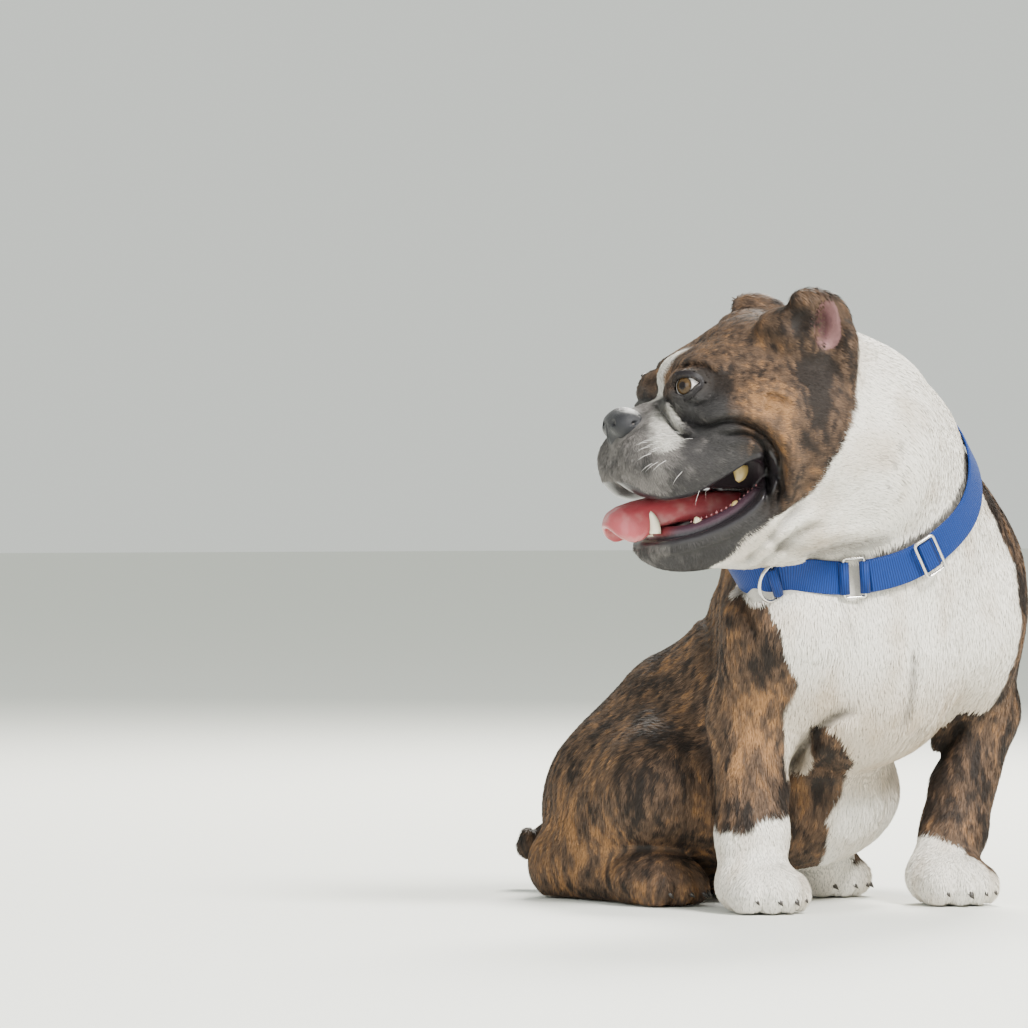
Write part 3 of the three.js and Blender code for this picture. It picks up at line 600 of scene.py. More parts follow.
@dataclass(frozen=True)
class Fold:
    """A crease of skin along a line on both sides of the head, as seen from the side.

    The line is in millimetres: forward is negative, up is positive.
    """

    line: tuple[tuple[float, float], ...]
    depth: float
    width: float
    ridge: float = 0.0
    offset: float = 5.0
    spread: float = 4.0

    def relief(self, side: Array) -> Array:
        """Depth of the skin's relief at points given as (forward, up).

        Args:
            side: rows of places back and up.

        Returns:
            How deep the skin lies there, ridges below nothing.
        """
        flat = np.concatenate([side, np.zeros((len(side), 1), side.dtype)], 1)
        path = smooth_line([(*q, 0.0) for q in self.line], 4)
        distance, share = line_distance(flat, path, 30)
        at = np.minimum((share * (len(path) - 1)).astype(int), len(path) - 2)
        span = path[at + 1] - path[at]
        gap = flat - path[at]
        signed = distance * np.sign(span[:, 0] * gap[:, 1] - span[:, 1] * gap[:, 0])
        fade = ramp(share, 0, 0.22) * ramp(1 - share, 0, 0.22)
        groove = self.depth * np.exp(-(signed / self.width) ** 2)
        swell = self.ridge * np.exp(-((signed - self.offset) / self.spread) ** 2)
        return (groove - swell) * fade


FACE_FOLDS = (
    Fold(((-75, -16), (-66, -17.5), (-57, -18), (-47, -15), (-38, -15), (-23, -21), (-13, -29), (-6, -40), (-4, -52),
          (-5, -64), (-8, -76), (-12, -86)), 5.6, 2.8, ridge=4.0, offset=7, spread=5),
    Fold(((-58, -24), (-44, -25.5), (-32, -25), (-23, -29), (-17, -37), (-14, -48), (-13, -62), (-15, -76),
          (-18, -88)), 4.6, 2.4, ridge=2.4, offset=-5.5),
    Fold(((-96, 2), (-94, -5), (-89, -12), (-84, -20), (-77, -26), (-66, -28)), 4.6, 2.4, ridge=4.0, offset=5,
         spread=3.6),
    Fold(((-90, 6), (-85, -4), (-80, -12), (-76, -19)), 3.2, 2.0),
    Fold(((-77, 6), (-73, 0), (-66, -3), (-59, 0), (-54, 7)), 2.4, 1.8, ridge=1.2, offset=4),
    Fold(((-80, 22), (-74, 26.5), (-66, 27), (-57, 24), (-51, 17)), 2.6, 1.5, ridge=1.6, offset=3.5, spread=3),
    Fold(((-91, 8), (-89.5, 18), (-89, 27), (-83, 36), (-76, 43)), 1.8, 3.0),
    Fold(((-20, 3), (-9, 3), (2, -4)), 3.4, 2.4, ridge=1.6, offset=-5),
    Fold(((30, -118), (10, -112), (-8, -106), (-18, -96)), 2.0, 5.0, ridge=2.0, offset=9, spread=7),
)


# Folds of the body as the camera sees them, across and up, each with the least nearness at which it starts
BODY_FOLDS = (
    (Fold(((121, 204), (122, 190), (121.5, 172), (119, 152), (113, 136)), 3.2, 4.0, ridge=1.6, offset=11,
          spread=8), 60),
    (Fold(((122, 204), (121, 172), (113, 136)), 0.0, 4.0, ridge=1.6, offset=-11, spread=8), 60),
    (Fold(((26, 96), (33, 112), (41, 127), (52, 141), (66, 151), (84, 156)), 5.0, 5.0, ridge=3.0, offset=-11,
          spread=7), 20),
    (Fold(((132, 92), (142, 106), (153, 119), (163, 133), (170, 150)), 5.0, 4.5, ridge=2.5, offset=10, spread=7), 20),
    (Fold(((140, 100), (150, 110), (160, 120)), 3.0, 3.0), 20),
    (Fold(((-12, 262), (-2, 274), (9, 285), (22, 299), (36, 315)), 4.0, 4.0, ridge=3.0, offset=9, spread=6), 60),
    (Fold(((-3, 262), (8, 270), (20, 281), (34, 290), (52, 296)), 3.0, 3.5, ridge=2.5, offset=8, spread=6), 60),
    (Fold(((34, 268), (58, 276), (84, 280), (110, 289)), 3.0, 4.5, ridge=2.5, offset=9, spread=6), 60),
    (Fold(((-49, 217), (-58, 202), (-66, 184), (-69, 166), (-68, 148), (-63, 132)), 1.3, 7.0, ridge=0.6, offset=14,
          spread=9), -60),
    (Fold(((-8, 254), (-7, 238), (-3, 222), (4, 206)), 3.5, 4.0, ridge=2.0, offset=8, spread=6), 40),
    (Fold(((65, 237), (70, 226), (74, 213), (78, 196)), 1.2, 2.4), 60),
    (Fold(((-34, 250), (-30, 226), (-28, 200), (-30, 172)), 3.0, 5.0, ridge=1.5, offset=9, spread=7), -10),
)


class Bulldog:
    """The whole dog as one field, from its named masses."""

    NECK = ((19, -102, 263, 81), (25, -142, 304, 87), (7, -171, 344, 68), (-25, -192, 367, 68))
    TAIL = ((0, 108, 52, 17), (4, 132, 40, 14), (-6, 146, 34, 10), (-14, 140, 44, 7))

    def __init__(self) -> None:
        """Joins the masses."""
        trunk = [
            (cone((15, -125, 203, 90), (1, -30, 150, 81)), 0.0), (egg((-13, -11, 104), (104, 108, 82)), 30.0),
            (cone((-19, 33, 122, 79), (-40, 77, 68, 87)), 30.0), (cone((10, -84, 262, 55), (8, -21, 218, 41)), 40.0),
            (egg((14, -160, 226), (96, 58, 74)), 26.0), (egg((11, -58, 86), (86, 74, 60)), 20.0),
            (egg((10, -138, 168), (80, 68, 64)), 16.0)]
        for leg in FORELEGS + HINDLEGS:
            trunk += leg.parts()
        neck = blended([(cone(a, b), 12) for a, b in zip(self.NECK, self.NECK[1:])])
        self.trunk = blended(trunk)
        self.trunk_only = blended(trunk[:7])
        self.body = blended([(self.trunk, 0), (neck, 34)])
        head, ears = Head().form(), Head().ears()
        self.head = bounded(lambda p: head(dog_to_head(p)), HEAD_AT - [50, -10, 40], 230)
        self.ears = bounded(lambda p: ears(dog_to_head(p)), HEAD_AT + [0, 0, 50], 160)
        line = [(*hips_to_dog(np.array(m[:3])), m[3]) for m in self.TAIL]
        self.tail = bounded(blended([(cone(a, b), 5) for a, b in zip(line, line[1:])]), line[1][:3], 120)
        self.flesh = blended([(self.body, 0), (self.head, 26)])

    def outer(self, p: Array) -> Array:
        """The outer form, out to the tips of the coat, with its flat underside."""
        return np.maximum(blended([(self.flesh, 0), (self.ears, 12), (self.tail, 5)])(p), 0.4 - p[:, 2])


class NetBuilder:
    """Meshes a field as a net of even facets, split twice as fine where a region asks for it."""

    def __init__(self, shape: Field, low: Sequence[float], high: Sequence[float], step: float, levels: int) -> None:
        """Samples the field closely near its surface and loosely elsewhere.

        Args:
            shape: the field.
            low: lowest corner of the box.
            high: highest corner of the box.
            step: finest distance between samples.
            levels: how often the loosest samples are halved.
        """
        self.origin = np.array(low, np.float32)
        h = step * 2 ** levels
        counts = np.ceil((np.array(high, float) - low) / h).astype(int) + 1
        grid = np.stack(np.meshgrid(*[np.arange(n) for n in counts], indexing="ij"), -1).reshape(-1, 3)
        values = shape(self._points(grid, h)).reshape(counts)
        for _ in range(levels):
            h /= 2
            near = np.abs(values) < h * 3.2
            cells = np.array(values.shape) - 1
            active = np.zeros(cells, bool)
            for d in np.ndindex(2, 2, 2):
                active |= near[tuple(slice(a, n + a) for a, n in zip(d, cells))]
            fine_shape = cells * 2 + 1
            fine = values.repeat(2, 0).repeat(2, 1).repeat(2, 2)[tuple(slice(0, n) for n in fine_shape)].copy()
            need = np.zeros(fine_shape, bool)
            split = active.repeat(2, 0).repeat(2, 1).repeat(2, 2)
            for d in np.ndindex(2, 2, 2):
                need[tuple(slice(a, n - 1 + a) for a, n in zip(d, fine_shape))] |= split
            fine[need] = shape(self._points(np.argwhere(need), h))
            values = fine
        self.values, self.step = values, h

    def _points(self, index: Array, h: float) -> Array:
        """Places of samples from their indices."""
        return self.origin + index.astype(np.float32) * np.float32(h)

    def net(self, refined: Array | None = None) -> tuple[Array, Array, Array]:
        """Points, quads and triangles of the surface.

        Args:
            refined: which cells of twice the step are split, or all of them.

        Returns:
            The points, the faces of four corners and those of three.
        """
        values = self.values
        nx, ny, nz = values.shape
        if refined is None:
            refined = np.ones(((nx - 1) // 2, (ny - 1) // 2, (nz - 1) // 2), bool)
        inside = values < 0
        strides = np.array([ny * nz, nz, 1], np.int64)
        flag = np.int64(1) << 40
        keys, crossings, flips = [], [], []
        for axis in range(3):
            b, c = (axis + 1) % 3, (axis + 2) % 3
            for span in (1, 2):
                first, last = [slice(None, None, span)] * 3, [slice(None, None, span)] * 3
                first[axis] = slice(0, -span, span)
                last[axis] = slice(span, None, span)
                at = np.argwhere(inside[tuple(first)] != inside[tuple(last)]) * span
                if not len(at):
                    continue
                cells = np.repeat(at[:, None, :], 4, 1)
                cells[:, 1:3, b] -= 1
                cells[:, 2:4, c] -= 1
                parent = cells // 2
                split = refined[parent[..., 0], parent[..., 1], parent[..., 2]]
                ids = np.where(split, cells @ strides, ((parent * 2) @ strides) | flag)
                keep = split.any(1) if span == 1 else ~split.any(1)
                at, ids = at[keep], ids[keep]
                end = at.copy()
                end[:, axis] += span
                f0 = values[at[:, 0], at[:, 1], at[:, 2]]
                f1 = values[end[:, 0], end[:, 1], end[:, 2]]
                cross = at.astype(float)
                cross[:, axis] += f0 / (f0 - f1) * span
                keys.append(ids)
                crossings.append(cross)
                flips.append(f0 < 0)
        ids, cross, flip = np.concatenate(keys), np.concatenate(crossings), np.concatenate(flips)
        unique, inverse = np.unique(ids.ravel(), return_inverse=True)
        quads = inverse.reshape(-1, 4)
        count = np.bincount(quads.ravel(), minlength=len(unique)).astype(float)
        points = np.stack([np.bincount(quads.ravel(), weights=np.repeat(cross[:, k], 4), minlength=len(unique)) / count
                           for k in range(3)], 1)
        quads = np.where(flip[:, None], quads, quads[:, ::-1])
        same = quads == np.roll(quads, -1, 1)
        full = quads[same.sum(1) == 0]
        full = full[(full[:, 0] != full[:, 2]) & (full[:, 1] != full[:, 3])]
        pinched = same.sum(1) == 1
        tri = quads[pinched][~same[pinched]].reshape(-1, 3)
        tri = tri[(tri[:, 0] != tri[:, 1]) & (tri[:, 1] != tri[:, 2]) & (tri[:, 0] != tri[:, 2])]
        return points * self.step + self.origin, full, tri


def relaxed(points: Array, quads: Array, tris: Array, share: float, rounds: int) -> Array:
    """Points moved towards the middle of their neighbours.

    Args:
        points: places.
        quads: faces of four corners.
        tris: faces of three.
        share: how far they move.
        rounds: how often.

    Returns:
        The new places.
    """
    edges = np.concatenate([quads[:, [0, 1]], quads[:, [1, 2]], quads[:, [2, 3]], quads[:, [3, 0]],
                            tris[:, [0, 1]], tris[:, [1, 2]], tris[:, [2, 0]]])
    count = np.maximum(np.bincount(edges.ravel(), minlength=len(points)), 1).astype(float)
    for _ in range(rounds):
        total = np.zeros_like(points)
        for k in range(3):
            total[:, k] = np.bincount(edges[:, 0], weights=points[edges[:, 1], k], minlength=len(points))
            total[:, k] += np.bincount(edges[:, 1], weights=points[edges[:, 0], k], minlength=len(points))
        points = points + (total / count[:, None] - points) * share
    return points


def largest_shell(points: Array, quads: Array, tris: Array) -> tuple[Array, Array, Array]:
    """Keeps only the largest connected surface.

    Args:
        points: places.
        quads: faces of four corners.
        tris: faces of three.

    Returns:
        The same three, reduced.
    """
    label = np.arange(len(points))
    edges = np.concatenate([quads[:, [0, 1]], quads[:, [1, 2]], quads[:, [2, 3]], tris[:, [0, 1]], tris[:, [1, 2]]])
    while True:
        low = np.minimum(label[edges[:, 0]], label[edges[:, 1]])
        before = label.copy()
        np.minimum.at(label, edges[:, 0], low)
        np.minimum.at(label, edges[:, 1], low)
        label = label[label]
        if (label == before).all():
            break
    main = np.bincount(label).argmax()
    keep = label == main
    new = np.cumsum(keep) - 1
    quads, tris = quads[keep[quads[:, 0]]], tris[keep[tris[:, 0]]]
    return points[keep], new[quads], new[tris]


# Noise

def lattice_noise(p: Array, seed: int) -> Array:
    """Smooth noise between -1 and 1 with features about one unit across.

    Args:
        p: places in units of the features.
        seed: picks the pattern.

    Returns:
        A value for each place.
    """
    cell = np.floor(p).astype(np.int64)
    f = p - cell
    f = f * f * (3 - 2 * f)
    out = np.zeros(len(p))
    for d in np.ndindex(2, 2, 2):
        c = cell + np.array(d)
        h = (c[:, 0] * 73856093) ^ (c[:, 1] * 19349663) ^ (c[:, 2] * 83492791) ^ (seed * 2654435761)
        h = (h ^ (h >> 13)) * 1274126177 & 0x7FFFFFFF
        h = (h ^ (h >> 16)) & 0xFFFF
        weight = np.prod(np.where(np.array(d), f, 1 - f), axis=1)
        out += weight * (h / 32767.5 - 1)
    return out


def layered_noise(p: Array, size: float, seed: int, layers: int = 3) -> Array:
    """Noise of a few scales added up.

    Args:
        p: places.
        size: size of the largest features.
        seed: picks the pattern.
        layers: how many scales.

    Returns:
        A value for each place.
    """
    out = np.zeros(len(p))
    for k in range(layers):
        out += lattice_noise(p / (size / 2 ** k) + 17.3 * k, seed + k) * 0.5 ** k
    return out / 1.6


def ramp(value: Array, low: float, high: float) -> Array:
    """A smooth step from 0 at low to 1 at high."""
    t = np.clip((value - low) / (high - low), 0, 1)
    return t * t * (3 - 2 * t)


def mix(a: Array, b: Array | Sequence[float], share: Array) -> Array:
    """Colours a and b mixed by a share for each row."""
    return a + (np.asarray(b) - a) * share[:, None]


class StrapPath:
    """The collar's way round the neck, with its own axes at each distance."""

    WAY = ((-36, -213, 253), (6, -225, 263), (36, -229, 282), (60, -224, 302), (76, -212, 330), (80, -182, 362),
           (72, -136, 382), (42, -92, 372), (-4, -66, 350), (-52, -74, 322), (-84, -108, 296), (-98, -156, 272),
           (-88, -203, 259), (-62, -208, 254))
    CLEAR = 0.5
    COUNT = 72

    def __init__(self, dog: Bulldog) -> None:
        """Lays the line on the neck.

        Args:
            dog: what the strap lies on.
        """
        line = even_line(smooth_line(self.WAY, 12, closed=True), self.COUNT, closed=True).astype(np.float32)
        for _ in range(4):
            line = settled(dog.flesh, line, self.CLEAR, rounds=3, limit=40, step=1).astype(np.float32)
            line = line + (np.roll(line, 1, 0) + np.roll(line, -1, 0) - 2 * line) * 0.25
        self.line = even_line(smooth_line(line, 8, closed=True), 720, closed=True)
        closed = np.vstack([self.line, self.line[:1]])
        self.run = np.concatenate([[0], np.cumsum(np.linalg.norm(np.diff(closed, axis=0), axis=1))])
        self.length = float(self.run[-1])
        self.tangent = unit(np.roll(self.line, -1, 0) - np.roll(self.line, 1, 0))
        normal = unit(slope(dog.flesh, self.line.astype(np.float32), 16))
        out = unit(normal - self.tangent * np.einsum("ij,ij->i", normal, self.tangent)[:, None])
        for _ in range(12):
            out = unit(out + np.roll(out, 1, 0) + np.roll(out, -1, 0))
        self.out = unit(out - self.tangent * np.einsum("ij,ij->i", out, self.tangent)[:, None])
        self.wide = np.cross(self.out, self.tangent)

    def at(self, distance: Array) -> tuple[Array, Array, Array, Array]:
        """Place, outward, along and wide directions at distances along the strap.

        Args:
            distance: distances in millimetres.

        Returns:
            Four arrays of rows.
        """
        where = np.mod(distance, self.length)

        def read(rows: Array) -> Array:
            """Rows of a table at the distances."""
            closed = np.vstack([rows, rows[:1]])
            return np.stack([np.interp(where, self.run, closed[:, k]) for k in range(3)], -1)
        return read(self.line), unit(read(self.out)), unit(read(self.tangent)), unit(read(self.wide))

    def nearest(self, p: Array) -> tuple[Array, Array, Array]:
        """Offsets of points from the strap's middle line.

        Args:
            p: points in the form's frame.

        Returns:
            Distance to the line, how far towards the head, and how far out from its underside.
        """
        coarse = self.line[::8]
        index = np.zeros(len(p), int)
        best = np.full(len(p), 1e12)
        for i, q in enumerate(coarse):
            d = ((p - q) ** 2).sum(1)
            closer = d < best
            best[closer] = d[closer]
            index[closer] = i * 8
        gap = p - self.line[index]
        return np.sqrt(best), (gap * self.wide[index]).sum(1), (gap * self.out[index]).sum(1)


# Building meshes

def make_object(name: str, points: Array, faces: Sequence[Array], smooth: bool = True) -> bpy.types.Object:
    """A mesh object at the origin from points in the form's frame.

    Args:
        name: the object's name.
        points: places in millimetres.
        faces: arrays of corners, one for each face size.
        smooth: whether it is shaded smoothly.

    Returns:
        The linked object.
    """
    mesh = bpy.data.meshes.new(name)
    faces = [np.asarray(f) for f in faces if len(f)]
    loops = np.concatenate([f.ravel() for f in faces])
    totals = np.concatenate([np.full(len(f), f.shape[1]) for f in faces])
    mesh.vertices.add(len(points))
    mesh.vertices.foreach_set("co", placed(points).astype(np.float32).ravel())
    mesh.loops.add(len(loops))
    mesh.loops.foreach_set("vertex_index", loops.astype(np.int32))
    mesh.polygons.add(len(totals))
    mesh.polygons.foreach_set("loop_start", np.concatenate([[0], np.cumsum(totals)[:-1]]).astype(np.int32))
    mesh.polygons.foreach_set("loop_total", totals.astype(np.int32))
    mesh.polygons.foreach_set("use_smooth", np.full(len(totals), smooth))
    mesh.update(calc_edges=True)
    mesh.validate()
    return linked(name, mesh)


def linked(name: str, data: bpy.types.ID) -> bpy.types.Object:
    """A new object in the scene."""
    obj = bpy.data.objects.new(name, data)
    bpy.context.scene.collection.objects.link(obj)
    return obj


def carried(obj: bpy.types.Object, slot: str, *nodes: str) -> None:
    """Lets a piece ride on the body and hides the solids that it stands for.

    Args:
        obj: the piece.
        slot: its material slot, not used.
        nodes: the solids, if any.
    """
    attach(obj, "root")
    if nodes:
        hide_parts(*nodes)


def fix_normals(obj: bpy.types.Object) -> None:
    """Turns a closed piece's faces outward.

    Args:
        obj: the piece.
    """
    work = bmesh.new()
    work.from_mesh(obj.data)
    bmesh.ops.recalc_face_normals(work, faces=work.faces)
    work.to_mesh(obj.data)
    work.free()


def paint(mesh: bpy.types.Mesh, name: str, values: Array) -> None:
    """Stores a colour or a number for each point of a mesh.

    Args:
        mesh: the mesh.
        name: name of the attribute.
        values: a row or a number for each point.
    """
    if values.ndim == 2:
        rgba = np.concatenate([values, np.ones((len(values), 1))], 1).astype(np.float32)
        mesh.attributes.new(name, "FLOAT_COLOR", "POINT").data.foreach_set("color", rgba.ravel())
    else:
        mesh.attributes.new(name, "FLOAT", "POINT").data.foreach_set("value", values.astype(np.float32))


def grid_quads(i: Array, j: Array, c: Array, d: Array, m: int) -> Array:
    """Quads from each row i to row j and column c to column d of a grid with m columns."""
    return np.stack([i * m + c, i * m + d, j * m + d, j * m + c], -1).reshape(-1, 4)


def swept(path: Array, out: Array, wide: Array, section: Array, closed: bool) -> tuple[Array, list[Array]]:
    """Sweeps a section along a path.

    Args:
        path: points of the path.
        out: the section's second direction at each point.
        wide: the section's first direction at each point.
        section: rows of (wide, out), or one such array for each point.
        closed: whether the path joins its start.

    Returns:
        Points and faces.
    """
    section = np.broadcast_to(section, (len(path), *np.asarray(section).shape[-2:]))
    m = section.shape[1]
    points = (path[:, None] + wide[:, None] * section[..., :1] + out[:, None] * section[..., 1:]).reshape(-1, 3)
    n = len(path)
    i = np.arange(n if closed else n - 1)[:, None]
    j = (i + 1) % n
    c = np.arange(m)[None]
    d = (c + 1) % m
    faces = [grid_quads(i, j, c, d, m)]
    if not closed:
        faces += [np.arange(m)[None, ::-1], (n - 1) * m + np.arange(m)[None]]
    return points, faces


@dataclass(frozen=True)
class Scatter:
    """Geometry Nodes that set one small shape on many points, each turned and sized its own way.

    The shape lies along +Y with its back to +Z. Each point carries "facing", "rise", "size", "tone" and "patch".
    """

    length: float
    width: float
    patch: float = 0.003
    ROWS: ClassVar[tuple[str, ...]] = ("facing", "rise", "size", "patch")

    def shape(self, name: str, points: Sequence[Point], faces: Sequence[Sequence[int]]) -> bpy.types.Object:
        """The shape that is repeated, with its own spot on the map.

        Args:
            name: the shape's name.
            points: its corners.
            faces: its faces.

        Returns:
            An object outside the scene.
        """
        mesh = bpy.data.meshes.new(name)
        mesh.from_pydata(points, [], faces)
        mesh.polygons.foreach_set("use_smooth", np.full(len(faces), True))
        spot = mesh.attributes.new("spot", "FLOAT_VECTOR", "POINT")
        spot.data.foreach_set("vector", np.array([(x + 0.5, y, 0) for x, y, _ in points], np.float32).ravel())
        return bpy.data.objects.new(name, mesh)

    def tree(self) -> bpy.types.NodeTree:
        """Builds the node tree.

        Returns:
            The group.
        """
        tree = bpy.data.node_groups.new("scatter", "GeometryNodeTree")
        for label, kind in (("Geometry", "Geometry"), ("Shape", "Object"), ("Length", "Float"), ("Width", "Float"),
                            ("Patch", "Float"), ("Material", "Material")):
            tree.interface.new_socket(label, in_out="INPUT", socket_type=f"NodeSocket{kind}")
        tree.interface.new_socket("Geometry", in_out="OUTPUT", socket_type="NodeSocketGeometry")
        given = tree.nodes.new("NodeGroupInput").outputs

        def add(kind: str, inputs: dict, out: int | str = 0, **settings: object) -> bpy.types.NodeSocket:
            """Adds a node with its inputs and gives one of its outputs."""
            node = tree.nodes.new(kind)
            for key, value in settings.items():
                setattr(node, key, value)
            for key, value in inputs.items():
                socket = node.inputs[key]
                if isinstance(value, bpy.types.NodeSocket):
                    tree.links.new(value, socket)
                else:
                    socket.default_value = value
            return node.outputs[out]

        def read(name: str) -> bpy.types.NodeSocket:
            """A point attribute that holds a direction or a size."""
            return add("GeometryNodeInputNamedAttribute", {"Name": name}, data_type="FLOAT_VECTOR")
        turn = add("FunctionNodeAxesToRotation", {"Primary Axis": read("facing"), "Secondary Axis": read("rise")},
                   primary_axis="Y", secondary_axis="Z")
        unit_size = add("ShaderNodeCombineXYZ", {"X": given["Width"], "Y": given["Length"], "Z": given["Length"]})
        size = add("ShaderNodeVectorMath", {0: unit_size, 1: read("size")}, operation="MULTIPLY")
        shape = add("GeometryNodeObjectInfo", {"Object": given["Shape"]}, "Geometry")
        placed_shapes = add("GeometryNodeInstanceOnPoints", {"Points": given["Geometry"], "Instance": shape,
                                                             "Rotation": turn, "Scale": size})
        real = add("GeometryNodeRealizeInstances", {"Geometry": placed_shapes})
        spot = add("ShaderNodeVectorMath", {0: read("spot"), "Scale": given["Patch"]}, operation="SCALE")
        place = add("ShaderNodeVectorMath", {0: read("patch"), 1: spot}, operation="ADD")
        mapped = add("GeometryNodeStoreNamedAttribute", {"Geometry": real, "Name": "OFBake", "Value": place},
                     data_type="FLOAT2", domain="CORNER")
        dressed = add("GeometryNodeSetMaterial", {"Geometry": mapped, "Material": given["Material"]})
        tree.links.new(dressed, tree.nodes.new("NodeGroupOutput").inputs[0])
        return tree

    def build(self, name: str, shape: bpy.types.Object, points: Array, rows: dict[str, Array],
              material: bpy.types.Material) -> bpy.types.Object:
        """Makes one plain mesh of all the shapes.

        Args:
            name: the piece's name.
            shape: what is repeated.
            points: places in the form's frame.
            rows: the points' attributes, three numbers each.
            material: the finish.

        Returns:
            The piece.
        """
        carrier = bpy.data.meshes.new(name)
        carrier.vertices.add(len(points))
        carrier.vertices.foreach_set("co", placed(points).astype(np.float32).ravel())
        paint(carrier, "tone", rows["tone"])
        for label in self.ROWS:
            carrier.attributes.new(label, "FLOAT_VECTOR", "POINT").data.foreach_set(
                "vector", rows[label].astype(np.float32).ravel())
        holder = linked(name + "_points", carrier)
        modifier = holder.modifiers.new("scatter", "NODES")
        modifier.node_group = self.tree()
        chosen = {"Shape": shape, "Length": self.length * MM, "Width": self.width * MM, "Patch": self.patch,
                  "Material": material}
        for item in modifier.node_group.interface.items_tree:
            if item.in_out == "INPUT" and item.name in chosen:
                modifier[item.identifier] = chosen[item.name]
        graph = bpy.context.evaluated_depsgraph_get()
        mesh = bpy.data.meshes.new_from_object(holder.evaluated_get(graph), preserve_all_data_layers=True,
                                               depsgraph=graph)
        holder.modifiers.clear()
        bpy.data.objects.remove(holder)
        for label in (*self.ROWS, "spot"):
            if label in mesh.attributes:
                mesh.attributes.remove(mesh.attributes[label])
        if not mesh.materials:
            mesh.materials.append(material)
        mesh.name = name
        return linked(name, mesh)


def ring_section(radius: float, count: int = 12) -> Array:
    """A round section."""
    a = np.arange(count) / count * 2 * math.pi
    return np.stack([np.cos(a), np.sin(a)], 1) * radius


def band_section(width: float, low: float, high: float) -> Array:
    """A flat band's section with round edges.

    Args:
        width: width over all.
        low: height of its underside.
        high: height of its top.

    Returns:
        Rows of (wide, out).
    """
    r = (high - low) / 2
    edge = [(width / 2 - r + r * math.sin(a), (low + high) / 2 - r * math.cos(a)) for a in np.linspace(0, math.pi, 6)]
    flat = [(w, high) for w in np.linspace(width / 2 - r, -width / 2 + r, 9)[1:-1]]
    other = [(-w, z) for w, z in reversed(edge)]
    under = [(-w, low) for w, _ in flat]
    return np.array(edge + flat + other + under)


# Finishes

class Shader:
    """A small help for writing a material's nodes."""

    def __init__(self, name: str) -> None:
        """Starts a material with its output and one surface shader.

        Args:
            name: the material's name.
        """
        self.material = bpy.data.materials.new(name)
        self.material.use_nodes = True
        self.tree = self.material.node_tree
        self.surface = self.tree.nodes["Principled BSDF"]

    def node(self, kind: str, inputs: dict | None = None, **settings: object) -> bpy.types.Node:
        """Adds a node, with settings and inputs that are values or other sockets.

        Args:
            kind: the type of node.
            inputs: values or sockets by input.
            settings: properties of the node.

        Returns:
            The node.
        """
        node = self.tree.nodes.new(kind)
        for key, value in settings.items():
            setattr(node, key, value)
        for key, value in (inputs or {}).items():
            self.feed(node.inputs[key], value)
        return node

    def feed(self, socket: bpy.types.NodeSocket, value: object) -> None:
        """Links a socket to another, or sets its value.

        Args:
            socket: what is fed.
            value: a value or another socket.
        """
        if isinstance(value, bpy.types.NodeSocket):
            self.tree.links.new(value, socket)
        else:
            socket.default_value = value

    def set(self, **inputs: object) -> None:
        """Sets the surface shader's inputs by their names with underscores for spaces."""
        for key, value in inputs.items():
            self.feed(self.surface.inputs[key.replace("_", " ")], value)

    def attribute(self, name: str) -> bpy.types.Node:
        """Reads an attribute of the piece."""
        return self.node("ShaderNodeAttribute", attribute_name=name)

    def noise(self, scale: float, detail: float = 2, stretch: Point = (1, 1, 1)) -> bpy.types.Node:
        """Noise on the piece's own coordinates.

        Args:
            scale: features a metre.
            detail: layers of noise.
            stretch: scale of each axis.

        Returns:
            The noise node.
        """
        place = self.node("ShaderNodeTexCoord").outputs["Object"]
        mapped = self.node("ShaderNodeMapping", {"Vector": place, "Scale": stretch}).outputs["Vector"]
        return self.node("ShaderNodeTexNoise", {"Vector": mapped, "Scale": scale, "Detail": detail})

    def math(self, operation: str, a: object, b: object = 0.0, c: object = 0.0) -> bpy.types.NodeSocket:
        """One sum on two or three numbers."""
        return self.node("ShaderNodeMath", {0: a, 1: b, 2: c}, operation=operation).outputs[0]

    def bump(self, height: object, strength: float, distance: float) -> None:
        """Gives the surface a relief."""
        node = self.node("ShaderNodeBump", {"Height": height, "Strength": strength, "Distance": distance})
        self.set(Normal=node.outputs["Normal"])


@dataclass(frozen=True)
class SkinFinish:
    """Skin under the coat, and bare lips, gums and palate where the wet mask is set."""

    hair_scale: float = 900.0

    def material(self) -> bpy.types.Material:
        """Builds the material.

        Returns:
            The material.
        """
        s = Shader("skin")
        tone = s.attribute("tone").outputs["Color"]
        wet = s.attribute("wet").outputs["Fac"]
        grain = s.noise(self.hair_scale, 3).outputs["Fac"]
        shade = s.math("MULTIPLY_ADD", grain, 0.5, 0.75)
        grey = s.node("ShaderNodeCombineColor", {0: shade, 1: shade, 2: shade}).outputs["Color"]
        colour = s.node("ShaderNodeMix", {"Factor": 1.0, 6: tone, 7: grey}, data_type="RGBA", blend_type="MULTIPLY")
        rough = s.math("MULTIPLY_ADD", wet, -0.45, 0.75)
        s.set(Base_Color=colour.outputs[2], Roughness=rough, Specular_IOR_Level=0.3)
        s.bump(grain, 0.35, 0.0008)
        return s.material


@dataclass(frozen=True)
class CoatFinish:
    """Short hair, coloured tuft by tuft."""

    roughness: float = 0.6

    def material(self) -> bpy.types.Material:
        """Builds the material.

        Returns:
            The material.
        """
        s = Shader("coat")
        s.set(Base_Color=s.attribute("tone").outputs["Color"], Roughness=self.roughness, Specular_IOR_Level=0.14)
        return s.material


